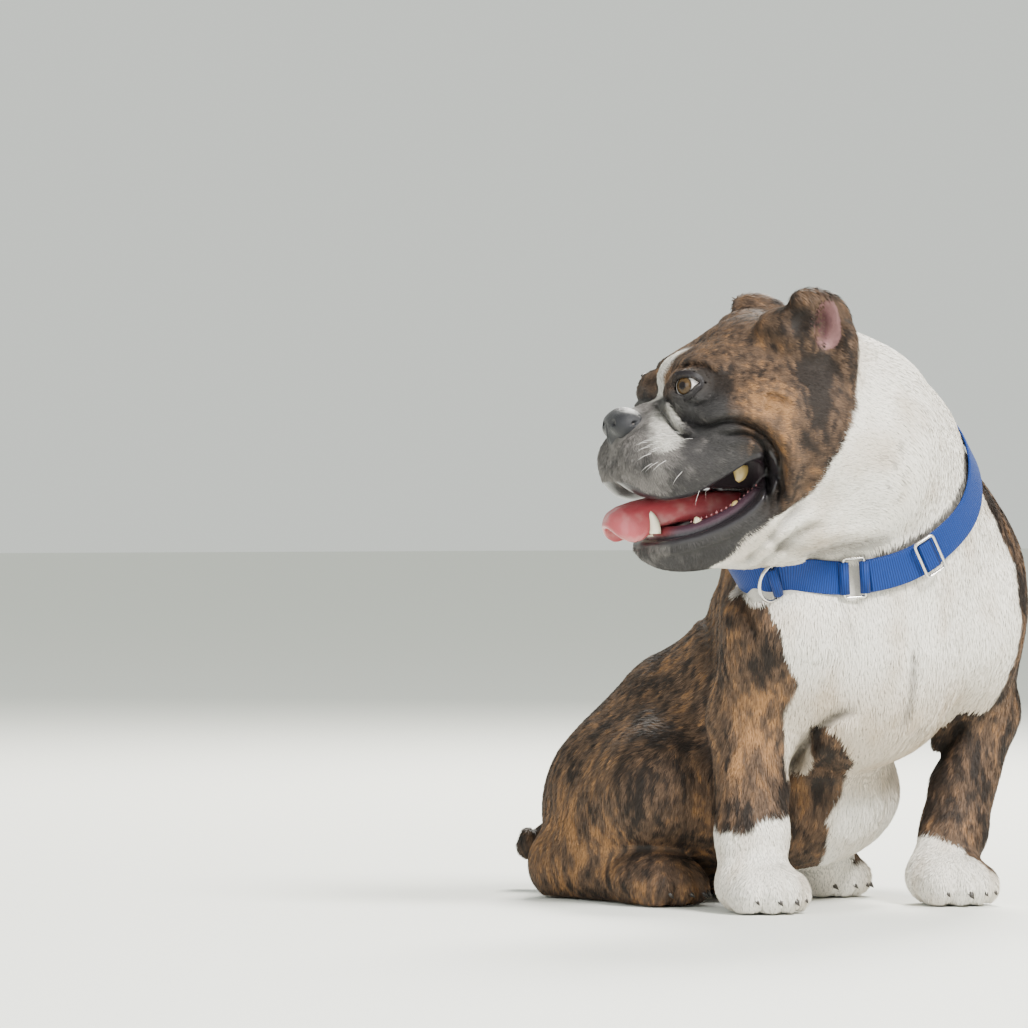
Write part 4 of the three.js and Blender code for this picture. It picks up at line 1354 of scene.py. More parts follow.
@dataclass(frozen=True)
class PaintedFinish:
    """A moist or polished surface coloured point by point."""

    name: str
    roughness: float
    grain_scale: float
    grain: float
    coat: float = 0.0
    gloss: float = 0.5

    def material(self) -> bpy.types.Material:
        """Builds the material.

        Returns:
            The material.
        """
        s = Shader(self.name)
        height = s.noise(self.grain_scale, 3).outputs["Fac"]
        s.set(Base_Color=s.attribute("tone").outputs["Color"], Roughness=self.roughness, Coat_Weight=self.coat,
              Coat_Roughness=0.05, Specular_IOR_Level=self.gloss)
        if self.grain > 0:
            s.bump(height, self.grain, 0.001)
        return s.material


@dataclass(frozen=True)
class WebbingFinish:
    """Woven nylon with fine ribs across the band, with painted shade in the grooves between them."""

    colour: Point = (0.002, 0.032, 0.20)

    def material(self) -> bpy.types.Material:
        """Builds the material.

        Returns:
            The material.
        """
        s = Shader("webbing")
        uv = s.node("ShaderNodeUVMap", uv_map="weave").outputs["UV"]
        ribs = s.node("ShaderNodeTexWave", {"Vector": uv, "Scale": 0.17, "Distortion": 0.3}, wave_type="BANDS",
                      bands_direction="X").outputs["Fac"]
        threads = s.node("ShaderNodeTexNoise", {"Vector": uv, "Scale": 3.0, "Detail": 3}).outputs["Fac"]
        # Painted shade: the grooves between the ribs, where the bump is lowest, are darkened to 0.42 of the colour
        dark = tuple(c * 0.42 for c in self.colour)
        colour = s.node("ShaderNodeMix", {"Factor": ribs, 6: (*dark, 1), 7: (*self.colour, 1)}, data_type="RGBA")
        s.set(Base_Color=colour.outputs[2], Roughness=0.62, Specular_IOR_Level=0.25, Sheen_Weight=0.05,
              Sheen_Roughness=0.4)
        s.bump(s.math("ADD", ribs, s.math("MULTIPLY", threads, 0.4)), 0.5, 0.0006)
        return s.material


@dataclass(frozen=True)
class MetalFinish:
    """Nickel plate, lightly worn."""

    def material(self) -> bpy.types.Material:
        """Builds the material.

        Returns:
            The material.
        """
        s = Shader("collar metal")
        wear = s.noise(400, 4).outputs["Fac"]
        rough = s.math("MULTIPLY_ADD", wear, 0.25, 0.12)
        s.set(Base_Color=(0.62, 0.6, 0.57, 1), Metallic=1.0, Roughness=rough)
        s.bump(wear, 0.08, 0.0004)
        return s.material


class Markings:
    """Where the coat is white, brindle or dark, and which way it lies."""

    WHITE = np.array([0.82, 0.78, 0.71])
    # Creamy white, also laid on the white coat as painted shade
    CREAM = np.array([0.46, 0.35, 0.235])
    DARK = np.array([0.024, 0.018, 0.015])
    BROWN = np.array([0.105, 0.065, 0.042])
    GOLD = np.array([0.29, 0.15, 0.064])
    FACE = (0, -30, -20)
    DOWN = (0.0, 0.1, -1.0)
    # Lighter and darker zones of the head as the camera sees them: middle, half sizes and share
    HEAD_ZONES = (((-22, 2), (26, 14), 0.5), ((-4, -26), (12, 28), 0.35), ((-45, 34), (24, 18), 0.1),
                  ((-62, 8), (20, 16), -0.7), ((22, 22), (15, 14), -0.6), ((-64, -26), (36, 12), -0.9),
                  ((-18, -60), (14, 34), -0.7), ((22, -4), (10, 18), -0.4))
    GREY = np.array([0.045, 0.042, 0.042])
    FROST = (0.16, 0.146, 0.138)
    LIP = np.array([0.016, 0.014, 0.016])
    MOUTH = np.array([0.15, 0.022, 0.026])
    GUM = np.array([0.045, 0.022, 0.032])
    EAR = np.array([0.27, 0.135, 0.135])
    # Painted shade deep in the ear's cup
    EAR_DEEP = np.array([0.06, 0.018, 0.022])

    # Masks count as this far outside where they do not apply
    OUTSIDE = -50
    # The chest's front, how far back the belly's white goes, and the belly's left edge
    FRONT_Y, BELLY_Y, BELLY_X = -92, 10, 96
    # White over the strap: half its width, and how near the strap or the head's middle it starts
    STRAP_HALF, NEAR_STRAP, NEAR_HEAD = 14, 150, 170
    # A pale strip between the forelegs: least and most across, least and most height
    STRIP = (25, 45, 104, 154)
    # White feet: how far round its middle a foot's white can reach, then for each foot its middle,
    # the height of the white, and the white's lean to the inner side
    SOCK_REACH = 60
    SOCKS = ((-88, -166, 70, -0.25), (95, -156, 42, 0.9), (52, -26, 30, 0.0))
    # Edges of the white bib: its left as pairs of height and place across, its right as heights and places
    BIB_LEFT = ((26, 55), (39, 59), (69, 63), (115, 78), (138, 62), (148, 34), (157, 27), (176, 32), (198, 24),
                (221, 15), (236, 8), (253, -3))
    BIB_RIGHT = ((120, 150, 200, 266, 300, 325), (96, 122, 132, 120, 102, 84))
    # Edge between the brown cheek and the white neck: heights, and places back as the camera sees them
    CHEEK = ((-130, -110, -87, -72, -54, -28, 24, 60), (-62, -40, -11, 11, 29, 44, 52, 50))
    SPECKS = ((106, 353), (101, 341), (110, 330), (97, 324), (91, 345), (103, 316))

    def __init__(self, dog: Bulldog, strap: StrapPath) -> None:
        """Keeps the form that the masks are measured on."""
        self.dog, self.strap = dog, strap
        self.mouth = Head().mouth()

    def white(self, p: Array) -> Array:
        """Share of white at points of the body and head.

        Args:
            p: points in the dog's frame.

        Returns:
            A share for each point.
        """
        h = half_head(p)
        wander = layered_noise(p, 22, 5) * 5
        distance, up, _ = self.strap.nearest(p)
        high = (up > -self.STRAP_HALF) & ((distance < self.NEAR_STRAP) | (away(h, 0) < self.NEAR_HEAD))
        cheek = np.interp(h[:, 2], *self.CHEEK)
        behind_cheek = head_seen(h)[:, 0] - cheek + wander
        across = body_seen(p)[:, 0]
        left = across - np.interp(p[:, 2], *np.array(self.BIB_LEFT).T)
        right = np.interp(p[:, 2], *self.BIB_RIGHT)
        bib = np.minimum(np.minimum(left, right - p[:, 0]), self.FRONT_Y - p[:, 1]) + wander
        neck = np.minimum(behind_cheek, up + self.STRAP_HALF)
        trunk = self.dog.trunk_only(p) < 9
        belly = np.minimum(np.minimum(left, self.BELLY_X - p[:, 0]), self.BELLY_Y - p[:, 1]) + wander * 1.6
        belly = np.where(p[:, 2] < 140, belly, self.OUTSIDE)
        body = np.where(trunk, np.maximum(bib, belly), bib - np.where(p[:, 2] < 150, 60, 0))
        for x, y, top, share in self.SOCKS:
            far = away(p[:, :2], [x, y])
            sock = np.minimum(top - p[:, 2] + wander * 1.6 + share * (x - p[:, 0]), self.SOCK_REACH - far)
            body = np.maximum(body, np.where(far < self.SOCK_REACH, sock, self.OUTSIDE))
        near, far, low, top = self.STRIP
        strip = np.minimum(np.minimum(across - near, far - across), np.minimum(p[:, 2] - low, top - p[:, 2]))
        body = np.maximum(body, np.where(p[:, 1] < self.FRONT_Y, strip + 0.5 * wander, self.OUTSIDE))
        return ramp(np.where(high, np.maximum(neck, np.where(up < 10, bib, self.OUTSIDE)), body), -1.5, 1.5)

    def brindle(self, p: Array, h: Array) -> Array:
        """Colour of the striped coat.

        Args:
            p: points in the form's frame.
            h: the same points in the head's frame.

        Returns:
            A colour for each point.
        """
        flow = p + np.stack([layered_noise(p, 40, seed) for seed in (11, 12, 13)], 1) * 12
        patches = layered_noise(flow * [1, 1.2, 0.55], 34, 21, 2)
        bands = layered_noise(flow * [1, 1.2, 0.45], 9, 25, 2)
        streaks = layered_noise(p * [1, 1, 0.35], 3.0, 31, 2)
        side = head_seen(mirrored(h))
        bias = np.zeros(len(p))
        for (u, z), (half_u, half_z), amount in self.HEAD_ZONES:
            reach = np.sqrt(((side[:, 0] - u) / half_u) ** 2 + ((side[:, 1] - z) / half_z) ** 2)
            bias += amount * ramp(1.25 - reach, 0, 0.7)
        from_face = away(h, self.FACE)
        bias *= from_face < 130
        shin = ramp(34 - stretched(p, (-92, -165, 128), (1, 0.6, 0.5)), 0, 20)
        haunch = ramp(60 - stretched(p, (-130, 40, 40), (1, 0.6, 1.1)), 0, 40)
        spine = ramp(p[:, 1] + 0.6 * p[:, 2] - 120, -20, 60) * ramp(230 - p[:, 2], 0, 60)
        bias += 0.45 * shin + 0.25 * haunch - 0.3 * spine
        calm = 1 - 0.5 * ramp(150 - from_face, 0, 30)
        gold = ramp((0.55 * patches + 0.6 * bands) * calm + 0.7 * streaks + bias, -0.7, 1.15)
        colour = mix(np.broadcast_to(self.DARK, p.shape), self.BROWN, ramp(gold, 0.05, 0.5))
        return mix(colour, self.GOLD, ramp(gold, 0.45, 1.0))

    def tone(self, p: Array) -> Array:
        """Coat colour at points, with painted shade in the hollow before each ear.

        Args:
            p: points in the dog's frame.

        Returns:
            A colour for each point.
        """
        h = dog_to_head(p.astype(np.float32))
        m = mirrored(h)
        colour = self.brindle(p, h)
        muzzle = ramp(-60 - m[:, 1] + 0.35 * (-20 - m[:, 2]), -8, 12) * ramp(8 - m[:, 2], -8, 10)
        muzzle *= away(h, [0, -80, -40]) < 120
        grey = mix(np.broadcast_to(self.GREY, p.shape), self.FROST,
                   ramp(layered_noise(p, 7, 41, 3) + ramp(-95 - m[:, 1], 0, 20), 0.1, 1.4))
        colour = mix(colour, grey, muzzle)
        blaze = ramp(7 - m[:, 0] + layered_noise(p, 9, 42) * 3, -3, 4) * ramp(-74 - m[:, 1], 0, 10)
        blaze *= ramp(m[:, 2] + 4, 0, 8)
        blaze *= away(h, [0, -80, 10]) < 60
        side = head_seen(m)
        patch = ramp(12 - stretched(side, (-90, -22), (1, 0.7)) + 3 * layered_noise(p, 4, 44), -4, 6)
        patch *= ramp(m[:, 0], 6, 14) * (away(h, [0, -95, -25]) < 60)
        colour = mix(colour, self.WHITE * 0.8, np.clip(blaze + patch * 0.85, 0, 1))
        # Painted shade: the hollow before each ear is darkened towards the dark coat
        hollow = ramp(9 - stretched(side, (9, 61), (1, 0.8)), -3, 4) * ramp(m[:, 0], 44, 52)
        colour = mix(colour, self.DARK * 0.7, hollow * 0.9)
        return mix(colour, self.pale(p, h), self.white(p))

    @staticmethod
    def ear_cup(m: Array) -> Array:
        """Distance to the open cup of an ear, from points on the left of the head's own frame."""
        return egg((80, 9, 57), (19, 9, 20), roll=12)(m)

    def pale(self, p: Array, h: Array) -> Array:
        """The white coat with painted shade under the jaw and low on the chest, creamy in random patches, with a few
        dark specks.

        Args:
            p: points in the dog's frame.
            h: the same points in the head's.

        Returns:
            A colour for each point.
        """
        # Painted shade: the white turns towards cream under the jaw and low on the chest; the noise adds creamy
        # patches at random
        shade_and_cream = 0.5 * ramp(-88 - h[:, 2], 0, 30) * ramp(140 - away(h, 0), 0, 40)
        shade_and_cream += 0.6 * ramp(205 - p[:, 2], 0, 60) * ramp(p[:, 2] - 74, 0, 24)
        shade_and_cream += 0.5 * ramp(layered_noise(p * [1, 1, 0.7], 22, 71, 2), -0.2, 0.9)
        colour = mix(np.broadcast_to(self.WHITE, p.shape), self.CREAM, np.clip(shade_and_cream, 0, 0.75))
        side = body_seen(p)
        speck = np.zeros(len(p))
        for place in self.SPECKS:
            speck = np.maximum(speck, ramp(4.5 - stretched(side, place, (1, 0.6)), 0, 3))
        speck *= ramp(layered_noise(p, 2.2, 73, 2), -0.2, 0.5) * (nearness(p) > 60)
        _, up, _ = self.strap.nearest(p)
        ruff = ramp(up, 11, 13) * ramp(20 - up + 4 * layered_noise(p, 5, 74, 2), 0, 3) * ramp(side[:, 0], 84, 96)
        ruff *= nearness(p) > 20
        return mix(colour, self.DARK, np.clip(0.6 * speck + 0.85 * ruff, 0, 1))

    def bare(self, p: Array) -> tuple[Array, Array]:
        """Bare lips and mouth.

        Args:
            p: points in the form's frame.

        Returns:
            How much each point is lip, and how much it is inside the mouth.
        """
        h = dog_to_head(p.astype(np.float32))
        near = away(h, [0, -70, -75]) < 110
        depth = np.where(near, self.mouth(h), 50)
        return ramp(-depth, -7, -4), ramp(-depth, -1.5, 1.0) * ramp(58 - np.abs(h[:, 0]), 0, 8)

    def lie(self, p: Array) -> Array:
        """Direction in which the hair lies.

        Args:
            p: points in the dog's frame.

        Returns:
            A direction for each point.
        """
        h = half_head(p)
        head = np.stack([0.25 * h[:, 0] / 60, np.ones(len(h)), -0.35 - 0.004 * h[:, 2]], 1)
        head[:, 0] *= np.sign(dog_to_head(p.astype(np.float32))[:, 0])
        head = turn_z(head, -HEAD_TURN)
        body = np.stack([np.zeros(len(p)), np.full(len(p), 0.75), np.full(len(p), -0.75)], 1)
        front = ramp(-120 - p[:, 1], 0, 40)
        body = mix(body, self.DOWN, front)
        leg = ramp(130 - p[:, 2], 0, 50)
        body = mix(body, self.DOWN, leg * 0.8)
        share = ramp(150 - away(h, [0, -10, -10]), 0, 60)
        return unit(mix(body, np.zeros(3), share) + head * share[:, None])


class EyeShape:
    """The eye's opening in its own axes: s to the outer corner, v up, n out of the eye."""

    lid = EYE_RADIUS + 1.9
    upper = ((-11, -1), (-8.5, 3.4), (-4, 6.6), (0, 7.3), (5, 6.9), (9, 4.9), (11, 3))
    lower = ((-11, -1), (-8, -4.6), (-3, -6.4), (2, -5.8), (6, -3.2), (9, 0.6), (11, 3))

    def axes(self) -> Array:
        """Rows s, v and n in the head's frame, for the left eye.

        Returns:
            The three rows.
        """
        n = unit(np.array(EYE_GAZE))
        s = unit(np.cross([0, 0, 1.0], n))
        return np.stack([s, np.cross(n, s), n])

    def local(self, m: Array) -> tuple[Array, Array, Array]:
        """Points of the left side in the eye's axes."""
        q = (m - np.float32(EYE_AT)) @ self.axes().T.astype(np.float32)
        return q[:, 0], q[:, 1], q[:, 2]

    def top(self, s: Array) -> Array:
        """Height of the upper lid's edge."""
        return np.interp(s, *np.array(self.upper).T)

    def low(self, s: Array) -> Array:
        """Height of the lower lid's edge."""
        return np.interp(s, *np.array(self.lower).T)

    def rim(self, count: int = 96) -> Array:
        """The opening's edge on the eyeball, in the head's frame.

        Args:
            count: how many points it has.

        Returns:
            The rim's points.
        """
        upper = smooth_line([(*q, 0.0) for q in self.upper], 8)
        lower = smooth_line([(*q, 0.0) for q in reversed(self.lower)], 8)
        flat = even_line(np.vstack([upper[:-1], lower[:-1]]), count, closed=True)[:, :2]
        out = np.sqrt(np.maximum((EYE_RADIUS + 0.5) ** 2 - (flat ** 2).sum(1), 9.0))
        return np.array(EYE_AT) + np.column_stack([flat, out]) @ self.axes()


class Skin:
    """One skin over the whole dog, under the coat."""

    STEP = 1.75
    LOW = (-245, -300, -14)
    HIGH = (205, 230, 490)
    REFINED = 112.0
    FOLD_SHADE = 0.16
    FACE = (0, -45, -30)
    REPLACES = ("head", "muzzle", "lower_jaw", "ear_left", "ear_right", "neck", "torso", "foreleg_right",
                "foreleg_left", "hindleg_right", "hindleg_left", "tail")

    def __init__(self, dog: Bulldog) -> None:
        """Keeps the outer form and the mouth's room."""
        self.dog = dog
        self.inside = Head().mouth()

    def depth(self, p: Array) -> Array:
        """How far the skin lies under the tips of the coat.

        Args:
            p: points in the dog's frame.

        Returns:
            A depth for each point.
        """
        h = dog_to_head(p)
        face = ramp(130 - away(h, np.float32([0, -70, -30])), 0, 70)
        foot = ramp(70 - p[:, 2], 0, 40)
        return (2.4 - 1.5 * face - 1.2 * foot * (1 - face)).astype(np.float32)

    def field(self, p: Array) -> Array:
        """The skin's field.

        Args:
            p: points in the dog's frame.

        Returns:
            The field's values.
        """
        d = self.dog.outer(p) + self.depth(p)
        h = dog_to_head(p)
        near = (np.abs(d) < 14) & (away(h, np.float32(self.FACE)) < 130)
        if near.any():
            d[near] = self.face(h[near], d[near])
        near = (np.abs(d) < 14) & (p[:, 2] > 80) & (p[:, 2] < 330)
        if near.any():
            d[near] += self.body_relief(p[near])
        return np.maximum(d, 1.0 - p[:, 2])

    def creases(self, p: Array) -> Array:
        """Depth of all folds at points on the skin.

        Args:
            p: points in the dog's frame.

        Returns:
            A depth for each point.
        """
        m = half_head(p)
        side = head_seen(m)
        near = ramp(130 - away(m, np.float32(self.FACE)), 0, 10) * ramp(m[:, 0], 8, 18)
        near *= ramp(self.inside(m), -1, 4)
        return sum(fold.relief(side) for fold in FACE_FOLDS) * near + self.body_relief(p)

    def shade(self, p: Array) -> Array:
        """Share of light that folds leave at points on the skin."""
        return (1 - self.FOLD_SHADE * np.clip(self.creases(p), 0, 4.5))[:, None]

    def body_relief(self, p: Array) -> Array:
        """Depth of the body's folds at points.

        Args:
            p: points in the dog's frame.

        Returns:
            A depth for each point.
        """
        side = body_seen(p)
        front = nearness(p)
        total = np.zeros(len(p), np.float32)
        for fold, least in BODY_FOLDS:
            total += (fold.relief(side) * ramp(front, least, least + 20)).astype(np.float32)
        return total

    def face(self, h: Array, d: Array) -> Array:
        """Adds folds, lids and the eyes' openings to the face.

        Args:
            h: points in the head's frame.
            d: the field there without them.

        Returns:
            The field with them.
        """
        m = mirrored(h)
        side = head_seen(m)
        outside = ramp(m[:, 0], 8, 18) * ramp(self.inside(h), -1, 4)
        for fold in FACE_FOLDS:
            d = d + fold.relief(side) * outside
        eye = EyeShape()
        s, v, n = eye.local(m)
        ball = np.sqrt(s * s + v * v + n * n)
        d = blend(d, np.maximum(ball - eye.lid, -n - 2), 4)
        opening = np.maximum(np.maximum(v - eye.top(s), eye.low(s) - v), -n)
        d = carve(d, opening.astype(np.float32), 1.0)
        return carve(d, (ball - EYE_RADIUS - 0.3).astype(np.float32), 0.6)

    def surface(self) -> tuple[Array, Array, Array]:
        """Meshes the skin, finer on the face and ears.

        Returns:
            Its points, faces of four corners and faces of three.
        """
        builder = NetBuilder(self.field, self.LOW, self.HIGH, self.STEP, 4)
        cells = (np.array(builder.values.shape) - 1) // 2
        grid = np.stack(np.meshgrid(*[np.arange(n) for n in cells], indexing="ij"), -1)
        centres = builder.origin + (grid + 0.5) * self.STEP * 2
        face = head_to_dog(np.array([0, -50.0, -25.0]))
        refined = away(centres, face) < self.REFINED
        ears = np.minimum(*[away(centres, head_to_dog(np.array([s * 62.0, 10.0, 55.0]))) for s in Side]) < 48
        points, quads, tris = builder.net(refined | ears)
        points, quads, tris = largest_shell(points, quads, tris)
        points = relaxed(points, quads, tris, 0.5, 2)
        return settled(self.field, points.astype(np.float32), rounds=2, limit=2.5), quads, tris

    def colours(self, points: Array, markings: Markings) -> tuple[Array, Array]:
        """Colours the skin, with its bare lips, mouth and ears, painted shade deep in each ear's cup and in the folds.

        Args:
            points: points on the skin.
            markings: colours and bare places.

        Returns:
            A colour and a share of wetness for each point.
        """
        tone = markings.tone(points)
        lip, inside = markings.bare(points)
        tone = mix(tone * 0.62, markings.LIP, lip)
        m = mirrored(dog_to_head(points))
        side = m[:, 0]
        mouth = mix(np.broadcast_to(markings.GUM, points.shape), markings.MOUTH, ramp(33 - side, -4, 8))
        tone = mix(tone, mouth, inside)
        # Painted shade: the bare ear's cup is darkened towards its centre
        centre = 1 - np.linalg.norm((m[:, 1:] - [10, 56]) / [8, 17], axis=1)
        concha_with_shade = mix(np.broadcast_to(markings.EAR, points.shape), markings.EAR_DEEP, ramp(centre, 0.0, 0.6))
        bare_ear = ramp(5.0 - markings.ear_cup(m), 0, 2.4) * (0.75 + 0.25 * layered_noise(points, 3, 81, 2))
        tone = mix(tone, concha_with_shade, bare_ear)
        return tone * self.shade(points), np.maximum(lip, inside)

    def build(self, markings: Markings) -> tuple[Array, Array]:
        """Makes the skin's mesh and paints it.

        Args:
            markings: colours and bare places.

        Returns:
            Its points and its triangles.
        """
        points, quads, tris = self.surface()
        obj = make_object("skin", points, [quads, tris])
        for name, values in zip(("tone", "wet"), self.colours(points, markings)):
            paint(obj.data, name, values)
        obj.data.materials.append(SkinFinish().material())
        carried(obj, "brindle_coat", *self.REPLACES)
        return points, np.concatenate([quads[:, [0, 1, 2]], quads[:, [0, 2, 3]], tris])


@dataclass
class Coat:
    """Short hair in flat tufts over the whole skin, closer and smaller on the face and feet."""

    skin: Skin
    markings: Markings
    points: Array
    triangles: Array
    per_piece: int = 62000
    most: int = 480000
    body: tuple[float, float, float] = (0.74, 6.8, 0.95)
    face: tuple[float, float, float] = (1.7, 3.8, 0.6)
    foot: tuple[float, float, float] = (0.9, 5.0, 0.85)
    blade: tuple[Point, ...] = ((-0.5, 0, -0.03), (0.5, 0, -0.03), (0.38, 0.55, 0.05), (-0.38, 0.55, 0.05),
                                (0, 1, 0.02))
    seed: int = 7
    sunk: float = 0.15
    lean: tuple[float, float] = (0.04, 0.15)
    lengths: tuple[float, float] = (0.7, 1.25)
    widths: tuple[float, float] = (0.75, 1.25)
    tones: tuple[float, float] = (0.8, 1.14)
    strap_room: Point = (12.2, 22, -8)

    def sizes(self, p: Array) -> Array:
        """Tufts per square millimetre, their length and width at points.

        Args:
            p: points on the skin.

        Returns:
            Rows of the three.
        """
        h = dog_to_head(p.astype(np.float32))
        face = ramp(150 - away(h, np.float32([0, -55, -20])), 0, 60)
        foot = ramp(75 - p[:, 2], 0, 40) * (1 - face)
        rows = mix(np.broadcast_to(self.body, (len(p), 3)), self.face, face)
        return mix(rows, self.foot, foot)

    def grows(self, p: Array) -> Array:
        """Which places carry hair.

        Args:
            p: points on the skin.

        Returns:
            True where hair grows.
        """
        h = half_head(p)
        lip, inside = self.markings.bare(p)
        distance, up, out = self.markings.strap.nearest(p)
        half, reach, under = self.strap_room
        strapped = (np.abs(up) < half) & (distance < reach) & (out > under)
        nose = Nose().field(h) < 1.2
        eye = away(h, np.float32(EYE_AT)) < EYE_RADIUS + 2.6
        cup = (self.markings.ear_cup(h) < 3.2) & (np.abs(head_seen(h)[:, 0] - 34) < 6.5)
        return ~((lip > 0.35) | (inside > 0.3) | strapped | nose | eye | cup | (p[:, 2] < 3))

    def atlas(self, p: Array, normal: Array) -> Array:
        """Places on an unwrap of the skin by the six ways that it faces.

        Args:
            p: points on the skin.
            normal: the way that the skin faces there.

        Returns:
            Rows of (u, v, 0).
        """
        way = np.abs(normal).argmax(1)
        low, span = self.points.min(0), np.ptp(self.points, axis=0).max()
        q = (p - low) / span
        flat = np.where((way == 0)[:, None], q[:, [1, 2]], np.where((way == 1)[:, None], q[:, [0, 2]], q[:, [0, 1]]))
        back = normal[np.arange(len(p)), way] < 0
        corner = np.stack([way / 3, back / 2], 1)
        return np.column_stack([corner + flat * [0.3, 0.47] + 0.01, np.zeros(len(p))])

    def roots(self, rng: np.random.Generator) -> tuple[Array, Array]:
        """Draws the places where tufts grow.

        Args:
            rng: draws the numbers.

        Returns:
            The places, and the way that the skin faces there.
        """
        a, b, c = (self.points[self.triangles[:, k]] for k in range(3))
        cross = np.cross(b - a, c - a)
        area = np.linalg.norm(cross, axis=1) / 2
        smooth = unit(np.stack([np.bincount(self.triangles.ravel(), weights=np.repeat(cross[:, k], 3),
                                            minlength=len(self.points)) for k in range(3)], 1))
        expected = area * self.sizes((a + b + c) / 3)[:, 0]
        expected *= min(1, self.most / expected.sum())
        count = np.floor(expected + rng.random(len(area))).astype(int)
        tri = np.repeat(np.arange(len(area)), count)
        u, v = rng.random(len(tri)), rng.random(len(tri))
        u, v = np.where(u + v > 1, 1 - u, u), np.where(u + v > 1, 1 - v, v)
        weight = np.stack([1 - u - v, u, v], 1)[..., None]
        corners = self.triangles[tri]
        root = (self.points[corners] * weight).sum(1)
        normal = unit((smooth[corners] * weight).sum(1))
        keep = self.grows(root)
        return root[keep], normal[keep]

    def rows(self, rng: np.random.Generator, root: Array, normal: Array) -> dict[str, Array]:
        """Draws each tuft's directions, size and colour.

        Args:
            rng: draws the numbers.
            root: where the tufts grow.
            normal: the way that the skin faces there.

        Returns:
            The rows that the scatter reads.
        """
        n = len(root)
        sizes = self.sizes(root)
        lie = self.markings.lie(root)
        swirl = np.stack([layered_noise(root, 30, 61 + k, 2) for k in range(3)], 1) * 0.3 + rng.normal(0, 0.1, (n, 3))
        lie = unit(lie + swirl)
        lie = unit(lie - normal * (lie * normal).sum(1)[:, None])
        facing = unit(lie + normal * rng.uniform(*self.lean, (n, 1)))
        roll = rng.normal(0, 0.22, (n, 1))
        rise = unit(normal + np.cross(lie, normal) * roll)
        long = sizes[:, 1] * rng.uniform(*self.lengths, n)
        room = (root[:, 2] - 0.8) / np.maximum(-facing[:, 2], 0.02)
        long = np.minimum(long, np.maximum(room, 1.0))
        size = np.stack([sizes[:, 2] * rng.uniform(*self.widths, n), long, long], 1)
        tone = self.markings.tone(root)
        tone = tone * rng.uniform(*self.tones, (n, 1)) ** ramp(1.1 - tone[:, :1], 0.2, 1.0)
        tone = tone * self.skin.shade(root)
        return {"facing": facing, "rise": rise, "size": size, "tone": np.clip(tone, 0, 0.9),
                "patch": self.atlas(root, normal)}

    def build(self) -> int:
        """Makes the coat's pieces.

        Returns:
            How many tufts there are.
        """
        rng = np.random.default_rng(self.seed)
        root, normal = self.roots(rng)
        rows = self.rows(rng, root, normal)
        order = np.argsort(root[:, 2], kind="stable")
        scatter = Scatter(1, 1)
        blade = scatter.shape("tuft", self.blade, ((0, 1, 2, 3), (3, 2, 4)))
        material = CoatFinish().material()
        for k, start in enumerate(range(0, len(root), self.per_piece)):
            part = order[start:start + self.per_piece]
            obj = scatter.build(f"coat_{k}", blade, root[part] - normal[part] * self.sunk,
                                {key: value[part] for key, value in rows.items()}, material)
            carried(obj, "brindle_coat" if k else "white_coat")
        bpy.data.objects.remove(blade)
        return len(root)


